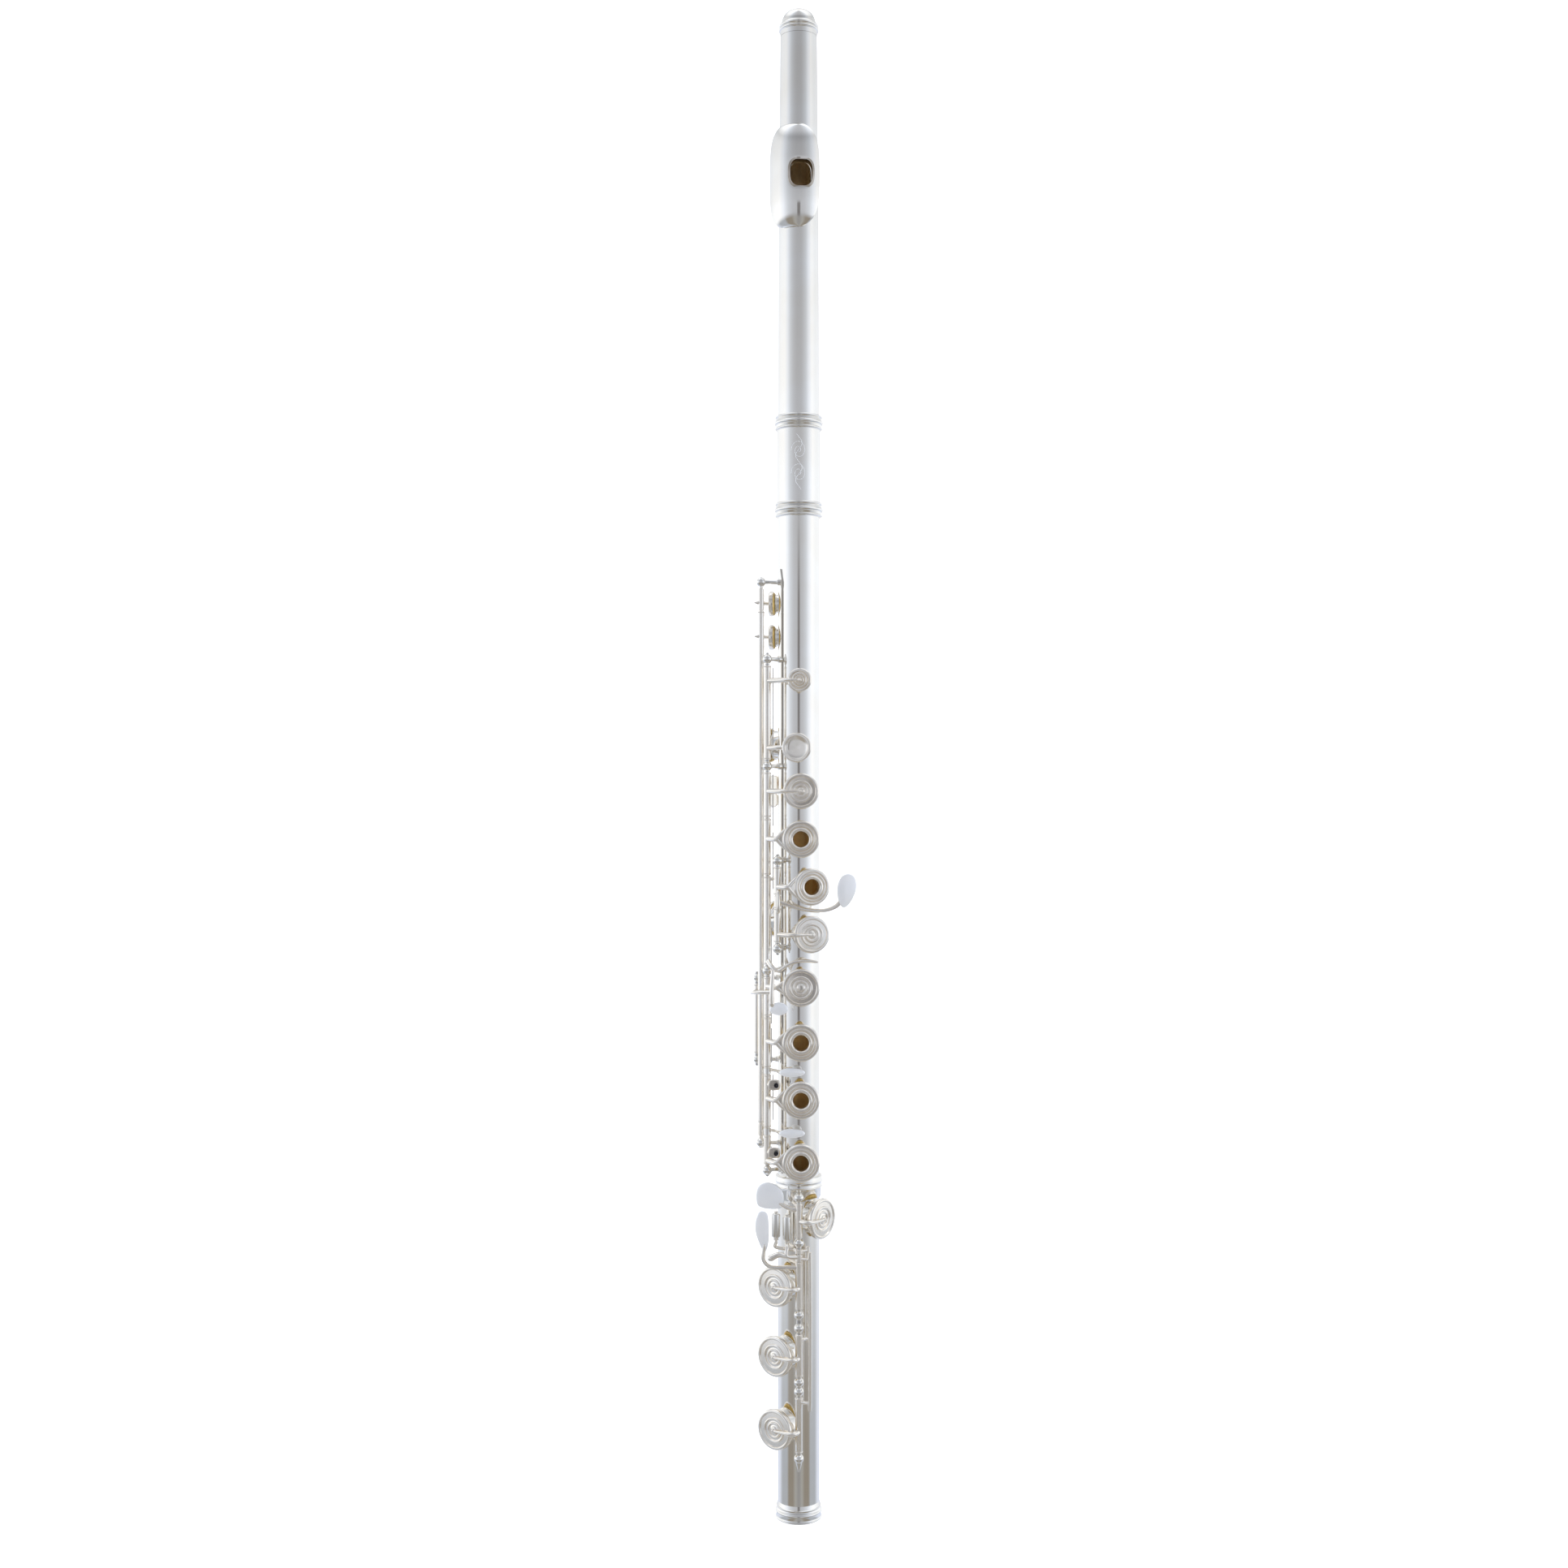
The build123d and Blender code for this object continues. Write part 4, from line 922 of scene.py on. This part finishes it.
def prism(outline, low, high, place):
    """A straight cutter with this outline, from one height to the other."""
    bm = bmesh.new()
    rings = [[place @ Vector((0, 0, low))]]
    rings += [[place @ Vector((x, y, h)) for x, y in outline] for h in (low, high)]
    rings.append([place @ Vector((0, 0, high))])
    add_rings(bm, rings)
    bmesh.ops.recalc_face_normals(bm, faces=bm.faces)
    return object_from(bm, "prism")


def head_tube():
    """The tapered tube with the embouchure hole through its front wall."""
    low, high = box_mm("head_tube")[0].z, HEAD_TOP
    steps = 26
    heights = [low, low + 0.3] + [TENON_TOP + (high - TENON_TOP) * i / steps for i in range(steps + 1)]
    profile = [(0, low)] + [(head_radius(z) - (0.2 if z == low else 0), z) for z in heights] + [(0, high)]
    tube = solid_lathe(profile)
    inner = [(0, low - 1)] + [(head_radius(z) - WALL, z + (1 if z == high else 0)) for z in heights]
    bore = solid_lathe(inner + [(0, high + 1)])
    cut = prism(blow_outline(0), 4, 15, facing(blow_z(), BLOW_ANGLE))
    combine(tube, [bore, cut], "DIFFERENCE")
    finish_tube(tube, "head_tube_silver", "head", ("head_tube",),
                lambda z: (head_radius(z), head_radius(z) - WALL))


def lip_plate():
    """The lip plate: a saddle that swells from the tube and wraps further round on the player's side."""
    z0, place = blow_z(), facing(blow_z(), BLOW_ANGLE)
    half_z, mid, half_angle, hole_r = 24.5, 22.0, 68.0, 13.0
    count, rows, weld = 128, 26, 0.00001

    def swell(v):
        return 9.75 + 4.1 * max(0.0, 1 - abs(v) ** 3.6) ** 0.62

    def ring(share, inset):
        """A ring of the skin, this share of the way from the hole to the rim."""
        spots = [a.lerp(b, share) for a, b in zip(start, rim)]
        return [Vector((*around(p.x, swell(p.y) - inset), z0 + p.y * half_z)) for p in spots]

    # Points of the plate as (degrees round the tube, share of its half length)
    start = [(place @ Vector((x, y, hole_r)), y) for x, y in blow_outline(0.0, count)]
    start = [Vector((BLOW_ANGLE + degrees_round(y, hole_r), (p.z - z0) / half_z)) for p, y in start]
    rim = [squircle(atan_of(Vector((h.x - BLOW_ANGLE, h.y * 90))), 3.6) for h in start]
    rim = [Vector((mid + half_angle * across, along)) for across, along in rim]
    insets = [0.25, 0.0625] + [0] * (rows - 2) + [0.12]
    rings = [ring(i / rows, inset) for i, inset in enumerate(insets)] + [ring(1, 0.5)]
    rings += [ring(0.995 * i / rows, 0.9) for i in range(rows, -1, -1)]
    plate, wall = bmesh.new(), bmesh.new()
    add_rings(plate, rings + [rings[0]])
    steps = [(0.0, 9.1), (0.0, 13.3), (0.12, 13.75), (1.1, 13.4), (1.3, 9.0), (0.0, 9.1)]
    add_rings(wall, [[place @ Vector((x, y, h)) for x, y in blow_outline(g, count)] for g, h in steps])
    for bm, name, material in ((plate, "lip_plate", SILVER), (wall, "lip_riser", SHADED)):
        bmesh.ops.remove_doubles(bm, verts=bm.verts, dist=weld)
        piece(bm, name + "_silver", "head", material, (name,))


def degrees_round(across, distance):
    """The angle round the tube of a point this far across at this distance."""
    return (across / distance) * 180 / pi


def atan_of(vector):
    turn = acos(max(-1, min(1, vector.x / vector.length)))
    return turn if vector.y >= 0 else 2 * pi - turn


def rings_and_sleeves():
    """The barrel and its two beaded rings, the foot's socket, and the ring at the foot's open end."""
    bottom, top = (corner.z for corner in box_mm("barrel"))
    profile = [(TUBE_R, bottom), (BARREL_R, bottom), (BARREL_R, top - 0.2), (10.1, top), (TUBE_R, top)]
    turned_piece(profile, "barrel_sleeve", "body", "barrel")
    bm, width = bmesh.new(), 7.0
    for base in (bottom, top - width):
        profile = [(BARREL_R, base)] + arc(10.75, base + 0.75, 0.6, -110, 80, 8) + [(10.7, base + 1.5)]
        profile += arc(10.55, base + 3.5, 1.15, -70, 70, 12) + [(10.7, base + 5.5)]
        profile += arc(10.75, base + 6.25, 0.6, -80, 110, 8) + [(BARREL_R, base + width)]
        add_lathe(bm, profile, Matrix(), TUBE_TURN)
    piece(bm, "barrel_ring_beads", "body", SILVER, ("barrel_rings",))
    bottom, top = (corner.z for corner in box_mm("foot_socket"))
    profile = [(9.95, top), (10.7, top)] + arc(10.7, top - 0.6, 0.6, 90, 10, 5)
    profile += arc(10.2, top - 2.7, 1.15, 35, -60, 10) + [(10.85, top - 4.6)]
    profile += arc(10.85, top - 5.4, 0.45, 80, -80, 6) + [(SOCKET_R, top - 6.4), (SOCKET_R, bottom + 1.2)]
    profile += [(9.95, bottom + 0.1), (9.92, bottom), (9.95, bottom + 1.6)]
    turned_piece(profile, "foot_socket_ring", "foot", "foot_socket")
    profile = [(TUBE_R - 0.3, 0.05), (10.7, 0.0)] + arc(10.6, 0.5, 0.4, -80, 60, 5) + [(10.65, 1.3)]
    profile += arc(9.9, 3.6, 1.15, -45, 50, 10) + [(10.35, 5.4)] + arc(10.3, 6.0, 0.35, -60, 90, 5)
    profile += [(TUBE_R, 8.2), (TUBE_R - 0.3, 8.2)]
    turned_piece(profile, "foot_end_ring_silver", "foot", "foot_end_ring")


def crown():
    base, top = (corner.z for corner in box_mm("crown"))
    ring, steps = base + 2.2, 14
    profile = [(0, base), (8.76, base), (8.8, ring)] + arc(8.9, ring + 0.75, 0.7, -80, 75, 8)
    profile += [(8.95, ring + 1.6)] + arc(8.55, ring + 2.5, 0.95, -55, 80, 8) + [(8.3, ring + 3.7)]
    dome = ring + 3.9
    for i in range(steps):
        t = radians(90 * i / steps)
        profile.append((8.2 * cos(t) ** 0.8, dome + (top - dome) * sin(t)))
    turned_piece(profile + [(0, top)], "crown_silver", "crown", "crown", segments=CUP_TURN)


def engraved_scroll():
    """A small line ornament on the barrel: two mirrored spirals and a wave."""
    bm = bmesh.new()
    z0, radius, line_r = middle("barrel").z + 1.0, BARREL_R + 0.01, 0.12

    def draw(points):
        spots = [(*around(degrees_round(across, radius), radius), z0 + up) for across, up in points]
        add_arm(bm, spots, [line_r] * len(spots), segments=6)

    for way in (1, -1):
        line = []
        for i in range(25):
            turn, size = 3.6 * pi * i / 24, 3.4 * (1 - i / 24) + 0.35
            line.append((size * cos(turn), size * sin(turn) * 1.3 + way * 5.4))
        draw(line)
    draw([(1.5 * sin(t * 14), t * 26) for t in [i / 16 - 0.5 for i in range(17)]])
    piece(bm, "barrel_scroll", "body", SATIN)


def cad_nodes():
    """The CAD nodes that stay in view take the same finishes."""
    finish = {"body_rib": SILVER, "needle_springs": STEEL, "bumper_corks": CORK, "head_cork": CORK,
              "cork_screw": KEY_SILVER, "e_adjusting_screw": SCREW, "d_adjusting_screw": SCREW}
    for node, material in finish.items():
        mesh = frame["nodes"][node].data
        mesh.materials.clear()
        mesh.materials.append(material)


# ---- stage, light and camera
def stage():
    """A pale floor that curves up into a backdrop behind the flute."""
    bm = bmesh.new()
    width, depth, back, bend, top = 3.0, -2.6, 1.5, 0.6, 3.2
    turns = [radians(90 * i / 12) for i in range(1, 13)]
    section = [(depth, 0.0), (back - bend, 0.0)]
    section += [(back - bend + bend * sin(t), bend - bend * cos(t)) for t in turns] + [(back, top)]
    rows = [[bm.verts.new((x, y, z)) for y, z in section] for x in (-width, width)]
    for i in range(len(section) - 1):
        bm.faces.new((rows[0][i], rows[1][i], rows[1][i + 1], rows[0][i + 1])).smooth = True
    obj = object_from(bm, "backdrop")
    material, tree, shader = new_material("pale_paper", 0.0, 0.9)
    grain = noise(tree, 40, 3)
    paint(tree, shader, grain, [(0.3, (0.93, 0.93, 0.93)), (0.7, (0.96, 0.96, 0.96))])
    fill(shader, Emission_Color=(1, 1, 1, 1), Emission_Strength=0.45)
    obj.data.materials.append(material)
    obj.visible_glossy = False


def blend(tree, way, first, second, share=None):
    """Two colours blended, by a third value or in full."""
    node = tree.nodes.new("ShaderNodeMix")
    node.data_type = "RGBA"
    node.blend_type = way
    fill(node, Factor=1.0)
    tree.links.new(first, node.inputs["A"])
    tree.links.new(second, node.inputs["B"])
    if share is not None:
        tree.links.new(share, node.inputs["Factor"])
    return node.outputs["Result"]


def studio_light():
    """A soft white studio: in front of the flute a grey panel with a dark slit, between two white walls,
    dimmer and warmer towards the ground."""
    world = bpy.data.worlds.new("studio")
    bpy.context.scene.world = world
    world.use_nodes = True
    tree = world.node_tree
    background = tree.nodes["Background"]
    coords = tree.nodes.new("ShaderNodeTexCoord")
    split = tree.nodes.new("ShaderNodeSeparateXYZ")
    tree.links.new(coords.outputs["Generated"], split.inputs["Vector"])
    side = tree.nodes.new("ShaderNodeMath")
    side.operation = "ARCTAN2"
    tree.links.new(split.outputs["X"], side.inputs[0])
    tree.links.new(scaled(tree, split.outputs["Y"], -1.0, 0.0), side.inputs[1])
    turn = scaled(tree, side.outputs[0], 0.5 / pi, 0.5)
    centre, near = (0.46, 0.475, 0.515), (0.51, 0.53, 0.58)
    half, bend = (0.62, 0.66, 0.73), (0.87, 0.92, 1.02)
    wall, side_wall = (1.04, 1.07, 1.12), (0.96, 1.0, 1.06)
    far, slit = (0.86, 0.87, 0.90), (0.20, 0.195, 0.20)
    left = [(0.0, far), (0.08, side_wall), (0.19, wall), (0.27, wall), (0.322, bend), (0.375, half),
            (0.425, near)]
    right = [(0.566, near), (0.615, half), (0.667, bend), (0.72, wall), (0.79, side_wall), (0.89, side_wall),
             (1.0, far)]
    high_side = ramp(tree, turn, left + [(0.47, centre), (0.53, centre)] + right)
    dark = [(0.480, centre), (0.486, slit), (0.514, slit), (0.520, centre)]
    low_side = ramp(tree, turn, left + dark + right)
    blue, dull = (0.74, 0.80, 0.94), (0.43, 0.46, 0.51)
    brown, glint = (0.29, 0.265, 0.23), (0.39, 0.39, 0.38)
    ground = ramp(tree, turn, [
        (0.0, blue), (0.15, blue), (0.22, dull), (0.31, dull), (0.345, brown), (0.41, brown), (0.45, glint),
        (0.50, (0.30, 0.30, 0.31)), (0.55, glint), (0.59, brown), (0.655, brown), (0.69, dull), (0.78, dull),
        (0.85, blue), (1.0, blue)])
    height = scaled(tree, split.outputs["Z"], 0.5, 0.5)
    level = ramp(tree, height, [(place, (bright, bright, bright)) for place, bright in (
        (0.0, 0.6), (0.33, 0.8), (0.42, 0.98), (0.46, 1.04), (0.563, 1.06), (0.604, 1.0), (0.634, 0.94),
        (0.677, 0.82), (0.74, 0.78), (0.80, 0.64), (0.88, 1.0), (1.0, 1.2))])
    rise = ramp(tree, height, [(0.548, (0, 0, 0)), (0.572, (1, 1, 1))])
    sink = ramp(tree, height, [(0.335, (1, 1, 1)), (0.43, (0, 0, 0))])
    walls = blend(tree, "MULTIPLY", blend(tree, "MIX", low_side, high_side, rise), level)
    sky = blend(tree, "MIX", walls, ground, sink)
    tree.links.new(sky, background.inputs["Color"])
    fill(background, Strength=1.0)
    target = Vector((0, 0, 0.36))
    for name, place, size, power in (("left_box", (-1.7, -1.0, 1.2), 0.9, 9),
                                     ("right_box", (1.8, -0.8, 1.0), 0.9, 7),
                                     ("top_box", (0.1, -0.4, 2.2), 1.2, 12)):
        light = bpy.data.lights.new(name, "AREA")
        light.size, light.energy = size, power
        lamp = put(name, light)
        lamp.location = place
        lamp.rotation_euler = (target - Vector(place)).to_track_quat("-Z", "Y").to_euler()
        lamp.visible_glossy = False
    bpy.context.scene.view_settings.view_transform = "Standard"


def camera():
    """A level view of the front; the lens sees 22.6 degrees to each side of its 36 mm sensor's middle."""
    data = bpy.data.cameras.new("camera")
    data.lens = data.sensor_width / 2 / tan(radians(22.6))
    data.clip_start = 0.01
    obj = put("camera", data)
    obj.location = (-0.007, -0.9, 0.3499)
    obj.rotation_euler = (radians(90), 0, 0)
    bpy.context.scene.camera = obj


# ---- the flute
camera()
studio_light()
stage()
drilled_tube("body_tube_silver", "body", "body_tube", [key for key in CUPS if key not in FOOT_KEYS])
drilled_tube("foot_tube_silver", "foot", "foot_tube", FOOT_KEYS)
head_tube()
lip_plate()
rings_and_sleeves()
crown()
engraved_scroll()
posts_and_rods()
rollers()
for name, kind, low, high in (("b", "pointed", 334.0, 355.6), ("a", "open", 306.8, 333.7),
                              ("f", "open", 215.8, 239.8), ("e", "open", 187.4, 212.7),
                              ("d", "open", 170.0, 183.9)):
    simple_key(name, kind, low, high)
simple_key("f_sharp", "plateau", 240.1, 258.8, 2.4)
c_sharp_key()
g_key()
g_sharp_key()
trill_key("d_sharp_trill", 185.7, ((432.4, 442.6), (182.9, 188.6)))
trill_key("d_trill", 214.3, ((188.9, 432.1),))
thumb_key()
b_flat_lever()
split_e_lever()
foot_key("e_flat", draw_e_flat, 136.7, 152.7)
foot_key("foot_c_sharp", draw_foot_c_sharp, 102.9, 125.1)
foot_key("foot_c", draw_foot_c, 71.2, 91.2)
foot_key("foot_b", draw_foot_b, 35.4, 61.6)
cad_nodes()
